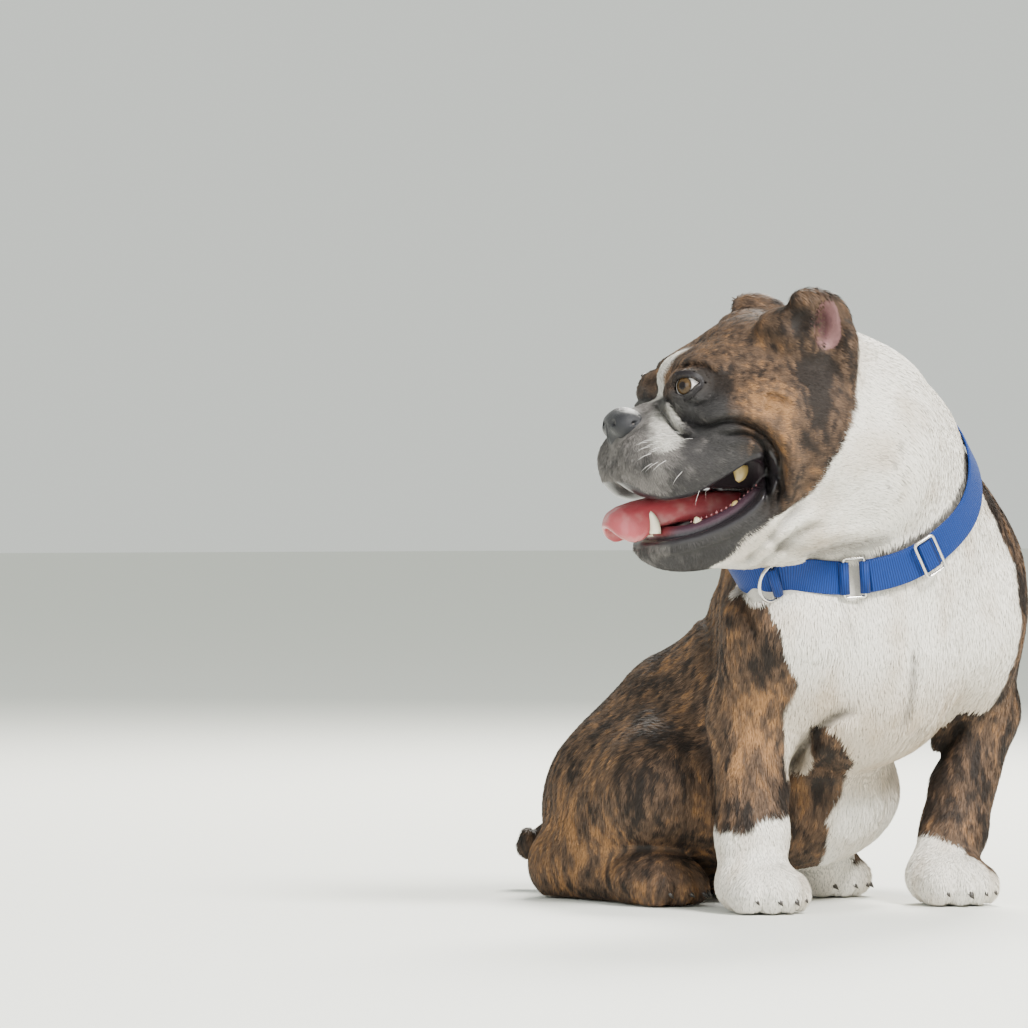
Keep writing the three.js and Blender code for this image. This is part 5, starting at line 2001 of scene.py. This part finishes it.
@dataclass
class Eye:
    """An eyeball with its iris, and the lids round it."""

    BROWN: ClassVar[Point] = (0.03, 0.017, 0.007)
    HAZEL: ClassVar[Point] = (0.075, 0.046, 0.02)
    PUPIL: ClassVar[Point] = (0.008, 0.006, 0.006)
    RING: ClassVar[Point] = (0.02, 0.014, 0.01)
    EYE_WHITE: ClassVar[Point] = (0.62, 0.58, 0.56)
    EYE_PINK: ClassVar[Point] = (0.4, 0.16, 0.14)
    LID: ClassVar[Point] = (0.012, 0.010, 0.011)
    side: Side
    skin: Skin
    iris: float = 7.3
    pupil: float = 3.0
    rings: int = 72

    def centre(self) -> Array:
        """The eyeball's middle in the form's frame."""
        return head_to_dog(np.array([self.side * EYE_AT[0], EYE_AT[1], EYE_AT[2]]))

    def axes(self) -> tuple[Array, Array, Array]:
        """Directions of the gaze, across and up, in the form's frame.

        Returns:
            The three directions.
        """
        gaze = unit(np.array([self.side * 0.58, -0.81, 0.08]))
        across = unit(np.cross(gaze, [0, 0, 1]))
        up = np.cross(across, gaze)
        return tuple(turn_z(v, -HEAD_TURN).astype(float) for v in (gaze, across, up))

    def build(self) -> None:
        """Makes the eyeball and its lids."""
        gaze, across, up = self.axes()
        angle = np.linspace(0, math.pi, self.rings) ** 1.25 / math.pi ** 0.25
        turn = np.arange(self.rings) / self.rings * 2 * math.pi
        a, t = np.meshgrid(angle[1:-1], turn, indexing="ij")
        off = EYE_RADIUS * a
        bulge = 0.5 * np.clip(1 - (off / self.iris) ** 2, 0, 1)
        radius = EYE_RADIUS - 0.5 + bulge
        rows = (np.cos(a)[..., None] * gaze + np.sin(a)[..., None] * (np.cos(t)[..., None] * across
                + np.sin(t)[..., None] * up)) * radius[..., None]
        points = np.vstack([rows.reshape(-1, 3), gaze * EYE_RADIUS, -gaze * (EYE_RADIUS - 0.5)]) + self.centre()
        n, m = a.shape
        i, j = np.meshgrid(np.arange(n - 1), np.arange(m), indexing="ij")
        k = (j + 1) % m
        quads = np.stack([i * m + j, (i + 1) * m + j, (i + 1) * m + k, i * m + k], -1).reshape(-1, 4)
        ring = np.arange(m)
        caps = np.concatenate([
            np.stack([np.full(m, n * m), ring, (ring + 1) % m], 1),
            np.stack([np.full(m, n * m + 1), (n - 1) * m + (ring + 1) % m, (n - 1) * m + ring], 1)])
        obj = make_object(f"eyeball_{self.side.label}", points, [quads, caps])
        off = np.concatenate([off.ravel(), [0, EYE_RADIUS * math.pi]])
        around = np.concatenate([t.ravel(), [0, 0]])
        rays = 0.5 + 0.5 * lattice_noise(np.stack([np.cos(around) * 9, np.sin(around) * 9, off * 0.5], 1), 3)
        tone = mix(np.broadcast_to(self.BROWN, points.shape), self.HAZEL, rays * ramp(off, 2, 5))
        tone = mix(tone, self.PUPIL, 1 - ramp(off, self.pupil - 0.2, self.pupil + 0.3))
        tone = mix(tone, self.RING, ramp(off, self.iris - 1.1, self.iris - 0.3))
        tone = mix(tone, self.EYE_WHITE, ramp(off, self.iris + 0.1, self.iris + 1.0))
        tone = mix(tone, self.EYE_PINK, ramp(off, self.iris + 3.5, self.iris + 9) * 0.8)
        paint(obj.data, "tone", tone)
        obj.data.materials.append(PaintedFinish("eye", 0.08, 500, 0.0, gloss=0.22).material())
        carried(obj, "eye", f"eye_{self.side.label}")
        self.lids()

    def lids(self) -> None:
        """Makes the black rim of the lids."""
        centre, flip = np.array(EYE_AT), [int(self.side), 1, 1]
        rim = EyeShape().rim()
        radial = unit(rim - centre)
        tangent = unit(np.roll(rim, -1, 0) - np.roll(rim, 1, 0))
        outward = np.cross(tangent, radial)
        outward *= np.sign(((rim - rim.mean(0)) * outward).sum(1).mean())
        columns = []
        for reach, radius in ((0.2, -0.6), (-0.3, 0.3), (0.1, 1.1), (1.0, 1.9), (2.2, 2.3)):
            turned = unit(radial + outward * (reach / EYE_RADIUS))
            columns.append(centre + turned * (EYE_RADIUS + radius))
        for reach, lift in ((2.9, 0.3), (3.9, -0.6), (3.2, -1.8)):
            p = centre + unit(radial + outward * (reach / EYE_RADIUS)) * (EYE_RADIUS + 2)
            on_skin = settled(self.skin.field, head_to_dog(p * flip).astype(np.float32), -lift, 3, 6.0)
            columns.append(dog_to_head(on_skin).astype(float) * flip)
        ring = np.stack(columns, 1)
        for _ in range(2):
            ring[:, 3:] += (np.roll(ring, 1, 0) + np.roll(ring, -1, 0) - 2 * ring)[:, 3:] * 0.25
        n, m = ring.shape[:2]
        points = head_to_dog(ring.reshape(-1, 3) * flip)
        i, c = np.arange(n)[:, None], np.arange(m)[None]
        obj = make_object(f"lid_rim_{self.side.label}", points, [grid_quads(i, (i + 1) % n, c, (c + 1) % m, m)])
        fix_normals(obj)
        paint(obj.data, "tone", np.broadcast_to(self.LID, points.shape))
        obj.data.materials.append(PaintedFinish("lid", 0.5, 900, 0.2, gloss=0.25).material())
        carried(obj, "dark_coat")


@dataclass
class FieldPiece:
    """A small piece of the head meshed from its own field, such as the nose or the tongue."""

    name: str
    slot: str
    replaces: str
    low: Point
    high: Point
    step: float

    def build(self, shape: Field, tone: Callable[[Array], Array], finish: PaintedFinish) -> None:
        """Makes the piece.

        Args:
            shape: the field in the head's frame.
            tone: gives a colour for each point in the head's frame.
            finish: the surface.
        """
        builder = NetBuilder(shape, self.low, self.high, self.step, 3)
        points, quads, tris = largest_shell(*builder.net())
        points = relaxed(points, quads, tris, 0.5, 2)
        points = settled(shape, points.astype(np.float32), rounds=2, limit=1.5, step=0.4)
        obj = make_object(self.name, head_to_dog(points), [quads, tris])
        paint(obj.data, "tone", tone(points))
        obj.data.materials.append(finish.material())
        carried(obj, self.slot, self.replaces)


@dataclass
class Trimmings:
    """Whiskers, claws and the small beads of the gum."""

    dog: Bulldog
    whisker: tuple[float, float] = (17.0, 0.34)
    claw: tuple[float, float] = (9.0, 5.6)
    bead: float = 2.3
    seed: int = 11

    @staticmethod
    def horn(bend: float, ratio: float) -> tuple[list[Point], list[tuple[int, ...]]]:
        """A five sided shape that narrows to a point and bends down.

        Args:
            bend: how far the tip drops, as a share of the length.
            ratio: width over length.

        Returns:
            Corners and faces.
        """
        rows = [(0.0, 0.5), (0.5, 0.36)]
        points = [(r * math.cos(a), y, r * math.sin(a) * ratio - bend * y * y) for y, r in rows
                  for a in np.arange(5) * 0.4 * math.pi]
        points.append((0.0, 1.0, -bend))
        faces = [(k, k + 5, (k + 1) % 5 + 5, (k + 1) % 5) for k in range(5)]
        faces += [(k + 5, 10, (k + 1) % 5 + 5) for k in range(5)] + [(4, 3, 2, 1, 0)]
        return points, [face[::-1] for face in faces]

    def scatter(self, name: str, slot: str, size: tuple[float, float], bend: float, points: Array, facing: Array,
                tone: Point, finish: PaintedFinish) -> None:
        """Sets horns on points.

        Args:
            name: the piece's name.
            slot: its material slot.
            size: length and width.
            bend: how far a tip drops, as a share of the length.
            points: roots in the form's frame.
            facing: directions.
            tone: colour.
            finish: surface.
        """
        rng = np.random.default_rng(self.seed)
        n = len(points)
        size_rows = np.repeat(rng.uniform(0.75, 1.1, (n, 1)), 3, 1)
        rows = {"facing": unit(facing), "rise": np.broadcast_to([0.0, 0.0, 1.0], (n, 3)), "size": size_rows,
                "tone": np.broadcast_to(tone, (n, 3)), "patch": np.zeros((n, 3))}
        scatter = Scatter(size[0], size[1])
        shape = scatter.shape(name + "_shape", *self.horn(bend, size[1] / size[0]))
        obj = scatter.build(name, shape, points, rows, finish.material())
        bpy.data.objects.remove(shape)
        fix_normals(obj)
        carried(obj, slot)

    def build(self) -> None:
        """Makes the three pieces."""
        rows = [(s * 45.0, y + 3.0 * k, z) for s in Side for k, z in enumerate((-30, -36, -42, -47))
                for y in (-121, -116, -111, -106, -101, -96)]
        roots = settled(self.dog.head, head_to_dog(np.array(rows)).astype(np.float32), -1.5, 5, 30)
        normal = unit(slope(self.dog.head, roots))
        ahead = turn_z(np.array([0, -0.75, -0.45]), -HEAD_TURN)
        self.scatter("whiskers", "white_coat", self.whisker, 0.22, roots, normal * 0.75 + ahead, (0.75, 0.73, 0.7),
                     PaintedFinish("whisker", 0.4, 300, 0.0))
        paw = Paw()
        roots, facing = [], []
        for leg in FORELEGS + HINDLEGS:
            fore = isinstance(leg, Foreleg)
            x, y = (leg.paw[0], leg.paw[1]) if fore else (leg.ankle[0] + 2, leg.ankle[1] - 8)
            for k in TOES:
                root = np.array([x + k * paw.spread, y - paw.reach[0 if abs(k) < 1 else 1] - 14, 12.0])
                roots.append(root if fore else leg.place(root))
                facing.append(turn_z(np.array([0, -1, -0.35]), 0 if fore else HIPS_TURN))
        self.scatter("claws", "nose_leather", self.claw, 0.25, np.array(roots), np.array(facing),
                     (0.03, 0.024, 0.02), PaintedFinish("claw", 0.35, 600, 0.2))
        line = even_line(smooth_line([(x - 1, y, z + 6.3) for x, y, z in Head().gum[3:]], 6), 15)
        beads = head_to_dog(np.concatenate([line, line * [-1, 1, 1]]))
        up = np.broadcast_to([0.15, -0.1, 1.0], beads.shape)
        self.scatter("gum_beads", "tongue", (self.bead, self.bead * 0.95), 0.0, beads, up, (0.36, 0.15, 0.16),
                     PaintedFinish("bead", 0.3, 900, 0.1, gloss=0.5))


class Mouth:
    """Tongue and teeth."""

    TOP = ((-146, -90), (-138, -83), (-130, -78), (-118, -74), (-104, -71), (-88, -68), (-60, -66), (-20, -67))
    DROOP = ((-140, 18), (-118, 17), (-104, 10), (-80, 6))
    THICK = ((-140, 6), (-122, 7), (-104, 8), (-60, 11))
    HALF = 23.0
    TIP = -141.0
    RED, PINK = (0.33, 0.05, 0.06), (0.42, 0.19, 0.18)
    IVORY, TARTAR = (0.72, 0.66, 0.5), (0.42, 0.29, 0.09)
    # A side's canine and cheek teeth: root, tip, radius, and length over width of the section
    SIDE_TEETH = (((25, -109, -99), (26, -113, -82), 4.3, 1.0), ((36, -80, -95), (37, -81, -86), 3.2, 1.4),
                  ((45, -52, -84), (46, -53, -74), 4.2, 1.6), ((45, -50, -48), (47, -51, -61), 3.8, 1.7))

    def tongue_field(self, p: Array) -> Array:
        """The tongue as an arch that hangs over the lower teeth, with its middle groove.

        Args:
            p: points in the head's frame.

        Returns:
            The field's values.
        """
        x, y, z = p[:, 0], p[:, 1], p[:, 2]
        top, droop, thick = (np.interp(y, *np.array(rows).T) for rows in (self.TOP, self.DROOP, self.THICK))
        middle = top - thick - droop * np.minimum((x / self.HALF) ** 2, 1.6)
        slope_x = 2 * droop * np.clip(x, -self.HALF, self.HALF) / self.HALF ** 2
        height = (z - middle) / np.sqrt(1 + slope_x ** 2)
        edge = np.sqrt(x ** 2 + np.maximum(self.TIP + self.HALF * 0.8 - y, 0) ** 2 * 1.5) - self.HALF + thick
        flat = np.abs(height)
        body = np.sqrt(np.maximum(edge, 0) ** 2 + flat ** 2) - thick
        groove = 1.8 * np.exp(-(x / 4) ** 2) * ramp(height, 0, 4)
        return np.maximum(body + groove, y + 10).astype(np.float32)

    def build(self) -> None:
        """Makes the tongue and the teeth."""
        def tone(p: Array) -> Array:
            """The tongue's colour at points."""
            base = np.broadcast_to(self.RED, p.shape)
            return mix(base, self.PINK, ramp(layered_noise(p, 8, 6), -0.2, 0.9) * 0.8)
        piece = FieldPiece("tongue_piece", "tongue", "tongue", (-30, -150, -118), (30, 20, -58), 1.2)
        piece.build(self.tongue_field, tone, PaintedFinish("tongue", 0.32, 1500, 0.35, coat=0.3))
        self.teeth()

    def teeth(self) -> None:
        """Makes the teeth as one piece."""
        points, faces, total, rows = [], [], 0, []
        for s in Side:
            rows += [((s * root[0], *root[1:]), (s * tip[0], *tip[1:]), *size) for root, tip, *size in self.SIDE_TEETH]
            rows += [((s * k * 5.4, -110 + k, -101), (s * k * 5.7, -112 + k, -92), 2.5, 0.9) for k in (0.5, 1.5, 2.5)]
        for root, tip, radius, long in rows:
            root, tip = np.array(root, float), np.array(tip, float)
            t = np.linspace(0, 1, 9)
            path = root + (tip - root) * t[:, None] + np.array([0, 2.2, 0]) * np.sin(t * math.pi)[:, None] * 0.6
            width = radius * np.sqrt(np.clip(1 - t ** 1.7, 0.0, 1)) + 0.05
            section = ring_section(1, 14)[None] * width[:, None, None] * np.array([1, long])
            back, across = (np.broadcast_to(way, path.shape) for way in ([0.0, 1.0, 0.0], [1.0, 0.0, 0.0]))
            p, f = swept(path, back, across, section, False)
            if tip[2] < root[2]:
                f = [g[:, ::-1] for g in f]
            points.append(p)
            faces.append([g + total for g in f])
            total += len(p)
        p = np.concatenate(points)
        quads = np.concatenate([f[0] for f in faces])
        caps = np.concatenate([g for f in faces for g in f[1:]])
        obj = make_object("teeth", head_to_dog(p), [quads[:, ::-1], caps[:, ::-1]])
        paint(obj.data, "tone", mix(np.broadcast_to(self.IVORY, p.shape), self.TARTAR,
                               ramp(p[:, 1], -100, -60) * 0.9))
        obj.data.materials.append(PaintedFinish("enamel", 0.18, 300, 0.05, coat=0.4).material())
        carried(obj, "tongue")


class Nose:
    """The nose's bare pad with its nostrils."""

    BLACK = (0.012, 0.012, 0.015)

    def field(self, p: Array) -> Array:
        """The pad's field in the head's frame.

        Args:
            p: points in the head's frame.

        Returns:
            The field's values.
        """
        m = mirrored(p.astype(np.float32))
        pad = blended([(egg((0, -126, -17), (19, 13.5, 12.5)), 0), (egg((12, -125, -19), (11, 13, 11)), 5),
                       (egg((0, -128, -27), (9, 10.5, 10)), 4)])(m)
        nostril = line_distance(m, smooth_line([(6, -142, -20), (10, -139, -16), (17, -132, -19), (23, -122, -16)], 4))
        pad = carve(pad, nostril[0] - 2.6 + 1.7 * nostril[1], 2)
        seam = np.exp(-(m[:, 0] / 1.4) ** 2) * 1.3 * ramp(-14 - m[:, 2], 0, 6)
        return np.maximum(pad + seam, m[:, 1] + 116 - 0.25 * m[:, 0])

    def build(self) -> None:
        """Makes the pad."""
        piece = FieldPiece("nose_pad", "nose_leather", "nose", (-28, -144, -42), (28, -108, 2), 0.9)
        piece.build(self.field, lambda p: np.broadcast_to(self.BLACK, p.shape),
                    PaintedFinish("nose", 0.42, 1400, 0.6, gloss=0.4))


@dataclass
class Collar:
    """Webbing strap with its rectangular ring, slider and half round ring."""

    FACETS: ClassVar[int] = 24
    path: StrapPath
    width: float = 25.4
    thickness: float = 2.0
    wire: float = 1.25
    ring: tuple[float, float, float] = (18.6, 32.0, 3.0)
    slider: tuple[float, float, float] = (20.0, 31.0, 4.0)
    slider_at: float = 60.0
    half_ring: tuple[float, float] = (31.6, 17.0)
    half_ring_at: float = -63.0
    half_ring_turn: float = -45.0
    loop_height: float = 3.4
    loop_radius: float = 3.9
    step: float = 1.6
    tail_gap: float = 0.3

    def webbing(self, name: str, start: float, end: float, low: float, width: float, *nodes: str) -> None:
        """A length of webbing on the neck.

        Args:
            name: the piece's name.
            start: distance along the strap where it starts.
            end: distance where it ends.
            low: height of its underside.
            width: width of the band.
            nodes: the solid that it stands for, if any.
        """
        distance = np.linspace(start, end, int((end - start) / self.step))
        at, out, _, wide = self.path.at(distance)
        section = band_section(width, low, low + self.thickness)
        points, faces = swept(at, out, wide, section, False)
        obj = make_object(name, points, [f[:, ::-1] for f in faces])
        self.weave(obj, np.repeat(distance, len(section)), np.tile(section[:, 0], len(distance)))
        obj.data.materials.append(WebbingFinish().material())
        carried(obj, "webbing", *nodes)

    @staticmethod
    def weave(obj: bpy.types.Object, along: Array, across: Array) -> None:
        """Gives a band its map along and across, in millimetres.

        Args:
            obj: the band.
            along: distance along it for each point.
            across: place across it for each point.
        """
        index = np.empty(len(obj.data.loops), np.int32)
        obj.data.loops.foreach_get("vertex_index", index)
        uv = obj.data.uv_layers.new(name="weave")
        uv.data.foreach_set("uv", np.stack([along[index], across[index]], 1).astype(np.float32).ravel())

    def wire_frame(self, name: str, node: str, outline: Array, at: float, height: float, turn: float = 0) -> None:
        """A closed loop of wire set on the strap.

        Args:
            name: the piece's name.
            node: the solid that it stands for.
            outline: rows of (along, wide, out) in the strap's axes.
            at: distance along the strap.
            height: height of the loop's origin over the strap's underside.
            turn: how far the loop is turned about the wide axis.
        """
        p, out, along, wide = (v[0] for v in self.path.at(np.array([at])))
        c, s = math.cos(math.radians(turn)), math.sin(math.radians(turn))
        x = outline[:, 0] * c + outline[:, 2] * s
        z = -outline[:, 0] * s + outline[:, 2] * c
        line = p + along * x[:, None] + wide * outline[:, 1:2] + out * (z[:, None] + height)
        tangent = unit(np.roll(line, -1, 0) - np.roll(line, 1, 0))
        side = unit(np.cross(line - line.mean(0), tangent).mean(0))[None].repeat(len(line), 0)
        points, faces = swept(line, np.cross(tangent, side), side, ring_section(self.wire, 14), True)
        obj = make_object(name, points, faces)
        obj.data.materials.append(MetalFinish().material())
        carried(obj, "collar_metal", node)

    def rounded(self, length: float, width: float, corner: float) -> Array:
        """Outline of a wire rectangle along its middle.

        Args:
            length: size along the strap.
            width: size across it.
            corner: outer radius of the corners.

        Returns:
            Rows of (along, wide, out).
        """
        x, y = length / 2 - self.wire, width / 2 - self.wire
        r = max(corner - self.wire, 0.8)
        corners = [(x - r, -y + r, -90), (x - r, y - r, 0), (-x + r, y - r, 90), (-x + r, -y + r, 180)]
        rows = [(cx + r * math.cos(math.radians(a + k)), cy + r * math.sin(math.radians(a + k)), 0.0)
                for cx, cy, a in corners for k in range(0, 91, 15)]
        return np.array(rows)

    def half_round(self) -> Array:
        """Outline of the half round ring along its middle.

        Returns:
            Rows of (along, wide, out).
        """
        half, reach = self.half_ring[0] / 2 - self.wire, self.half_ring[1] - self.wire
        rows = [(0.0, y, 0.0) for y in np.linspace(-half, half, 12)]
        rise = reach - half * 0.9
        rows += [(0.0, half * math.cos(a), rise + half * 0.9 * math.sin(a)) for a in np.linspace(0.0, math.pi, 24)]
        return np.array(rows)

    def fold(self, at: float, height: float, ahead: float) -> tuple[Array, Array]:
        """Webbing folded round a bar, as a tube's points and its faces.

        Args:
            at: distance along the strap.
            height: height of the bar over the strap's underside.
            ahead: how far the bar stands ahead.

        Returns:
            Points and quads.
        """
        p, out, along, wide = (v[0] for v in self.path.at(np.array([at])))
        outer = ring_section(self.loop_radius, self.FACETS)
        inner = outer * 0.52
        half = self.width / 2 - 0.6
        rows = []
        for ring, w in ((outer, -half), (outer, half), (inner, half), (inner, -half)):
            rows.append(p + along * (ring[:, :1] + ahead) + out * (ring[:, 1:] + height) + wide * w)
        points = np.concatenate(rows)
        rings, k = np.arange(4)[:, None], np.arange(self.FACETS)[None]
        return points, grid_quads(rings, (rings + 1) % 4, k, (k + 1) % self.FACETS, self.FACETS)

    def build(self) -> None:
        """Makes the collar."""
        bar = (self.ring[0] - 2 * self.wire) / 2
        end = bar + self.loop_radius - 1.2
        tail_low = self.thickness + self.tail_gap
        tail_end = self.slider_at + self.slider[0] / 2 - 3
        self.webbing("strap_webbing", end, self.path.length - end, 0, self.width, "collar_strap")
        self.webbing("strap_tail", bar + self.loop_radius, tail_end, tail_low, self.width - 1, "collar_strap_tail")
        self.webbing("strap_tail_fold", self.slider_at - 5.5, self.slider_at + 5.5, tail_low + self.thickness,
                     self.width - 2.6)
        half_ring_height = self.thickness + self.loop_radius - 1
        folds = [self.fold(0, self.loop_height, bar), self.fold(0, self.loop_height, -bar),
                 self.fold(self.half_ring_at, half_ring_height, 0)]
        for name, (points, quads) in zip(("fold_ahead", "fold_behind", "fold_half_ring"), folds):
            obj = make_object(f"strap_{name}", points, [quads])
            across = np.repeat([-12.0, 12.0, 12.0, -12.0], self.FACETS)
            self.weave(obj, np.tile(np.arange(self.FACETS) * 1.0, 4), across)
            obj.data.materials.append(WebbingFinish().material())
            carried(obj, "webbing")
        self.wire_frame("ring_wire", "collar_ring", self.rounded(*self.ring), 0, self.loop_height)
        self.wire_frame("slider_wire", "collar_slider", self.rounded(*self.slider), self.slider_at,
                        tail_low + self.thickness + 3)
        self.wire_frame("half_ring_wire", "collar_d_ring", self.half_round(), self.half_ring_at, half_ring_height,
                        self.half_ring_turn)


class Studio:
    """Pale floor, soft lights and the camera."""

    LIGHTS = (("key", (0.4, -3.0, 3.2), 1.2, 420, (1, 0.98, 0.94)), ("rim", (1.8, 2.0, 2.6), 1.2, 300, (1, 0.97, 0.9)),
              ("fill", (-2.8, -1.8, 1.2), 2.0, 60, (0.94, 0.98, 1)))
    FLOOR_HALF = 30
    LOOK_AT = (0, 0, 0.25)
    SENSOR = 36

    AZIMUTH = 30.0
    REF = (-87.0, -150.0)
    REF_PX = (752.0, 912.0)
    PX_PER_MM = 1.32
    DISTANCE = 4870.0
    HORIZON_PX = 500.0
    IMAGE = 1028

    def camera(self) -> None:
        """Places the camera at the photograph's viewpoint."""
        a = math.radians(self.AZIMUTH)
        right, back = np.array([math.cos(a), -math.sin(a)]), np.array([-math.sin(a), -math.cos(a)])
        ref = np.array(self.REF)
        aside = right @ ref - (self.REF_PX[0] - self.IMAGE / 2) / self.PX_PER_MM
        distance = self.DISTANCE + back @ ref
        height = (self.REF_PX[1] - self.HORIZON_PX) / self.PX_PER_MM
        focal = self.PX_PER_MM * self.DISTANCE
        pitch = math.atan((self.IMAGE / 2 - self.HORIZON_PX) / focal)
        data = bpy.data.cameras.new("camera")
        obj = linked("camera", data)
        obj.location = Vector(placed(np.array([*(right * aside + back * distance), height])))
        look = Vector((-back[0] * math.cos(pitch), -back[1] * math.cos(pitch), -math.sin(pitch)))
        obj.rotation_euler = look.to_track_quat("-Z", "Y").to_euler()
        data.sensor_width = self.SENSOR
        data.lens = self.SENSOR * focal / self.IMAGE
        data.clip_end = 60
        bpy.context.scene.camera = obj

    def light(self, name: str, at: Point, size: float, power: float, colour: Point) -> None:
        """Hangs a square soft light that looks at the dog.

        Args:
            name: its name.
            at: its place in metres.
            size: its side in metres.
            power: its strength in watts.
            colour: its colour.
        """
        data = bpy.data.lights.new(name, "AREA")
        data.size, data.energy, data.color = size, power, colour
        obj = linked(name, data)
        obj.location = at
        obj.rotation_euler = (Vector(self.LOOK_AT) - Vector(at)).to_track_quat("-Z", "Y").to_euler()

    def build(self) -> None:
        """Makes the floor, lights and camera."""
        mesh = bpy.data.meshes.new("floor")
        half = self.FLOOR_HALF
        mesh.from_pydata([(-half, -half, 0), (half, -half, 0), (half, half, 0), (-half, half, 0)], [], [(0, 1, 2, 3)])
        floor = linked("floor", mesh)
        s = Shader("floor")
        s.set(Base_Color=(0.78, 0.79, 0.74, 1), Roughness=0.8)
        mesh.materials.append(s.material)
        world = bpy.data.worlds.new("world")
        bpy.context.scene.world = world
        world.use_nodes = True
        sky = world.node_tree.nodes["Background"].inputs
        sky["Color"].default_value = (0.86, 0.9, 0.84, 1)
        sky["Strength"].default_value = 1.0
        for row in self.LIGHTS:
            self.light(*row)
        self.camera()


def build_head_details(skin: Skin) -> None:
    """Builds the eyes, nose, tongue, teeth, whiskers and claws.

    Args:
        skin: the skin that the lids lie on.
    """
    Trimmings(skin.dog).build()
    for side in Side:
        Eye(side, skin).build()
    Nose().build()
    Mouth().build()


def main() -> None:
    """Builds every piece in order and reports each."""
    logging.basicConfig(level=logging.INFO, format="%(message)s")
    dog = Bulldog()
    strap = StrapPath(dog)
    markings = Markings(dog, strap)
    LOG.info("strap %.0f mm long", strap.length)
    Studio().build()
    skin = Skin(dog)
    points, triangles = skin.build(markings)
    LOG.info("skin with %d points and %d triangles", len(points), len(triangles))
    LOG.info("coat with %d tufts", Coat(skin, markings, points, triangles).build())
    build_head_details(skin)
    LOG.info("eyes, nose and mouth")
    Collar(strap).build()
    LOG.info("collar")
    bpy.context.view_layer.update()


if __name__ == "__main__":
    main()
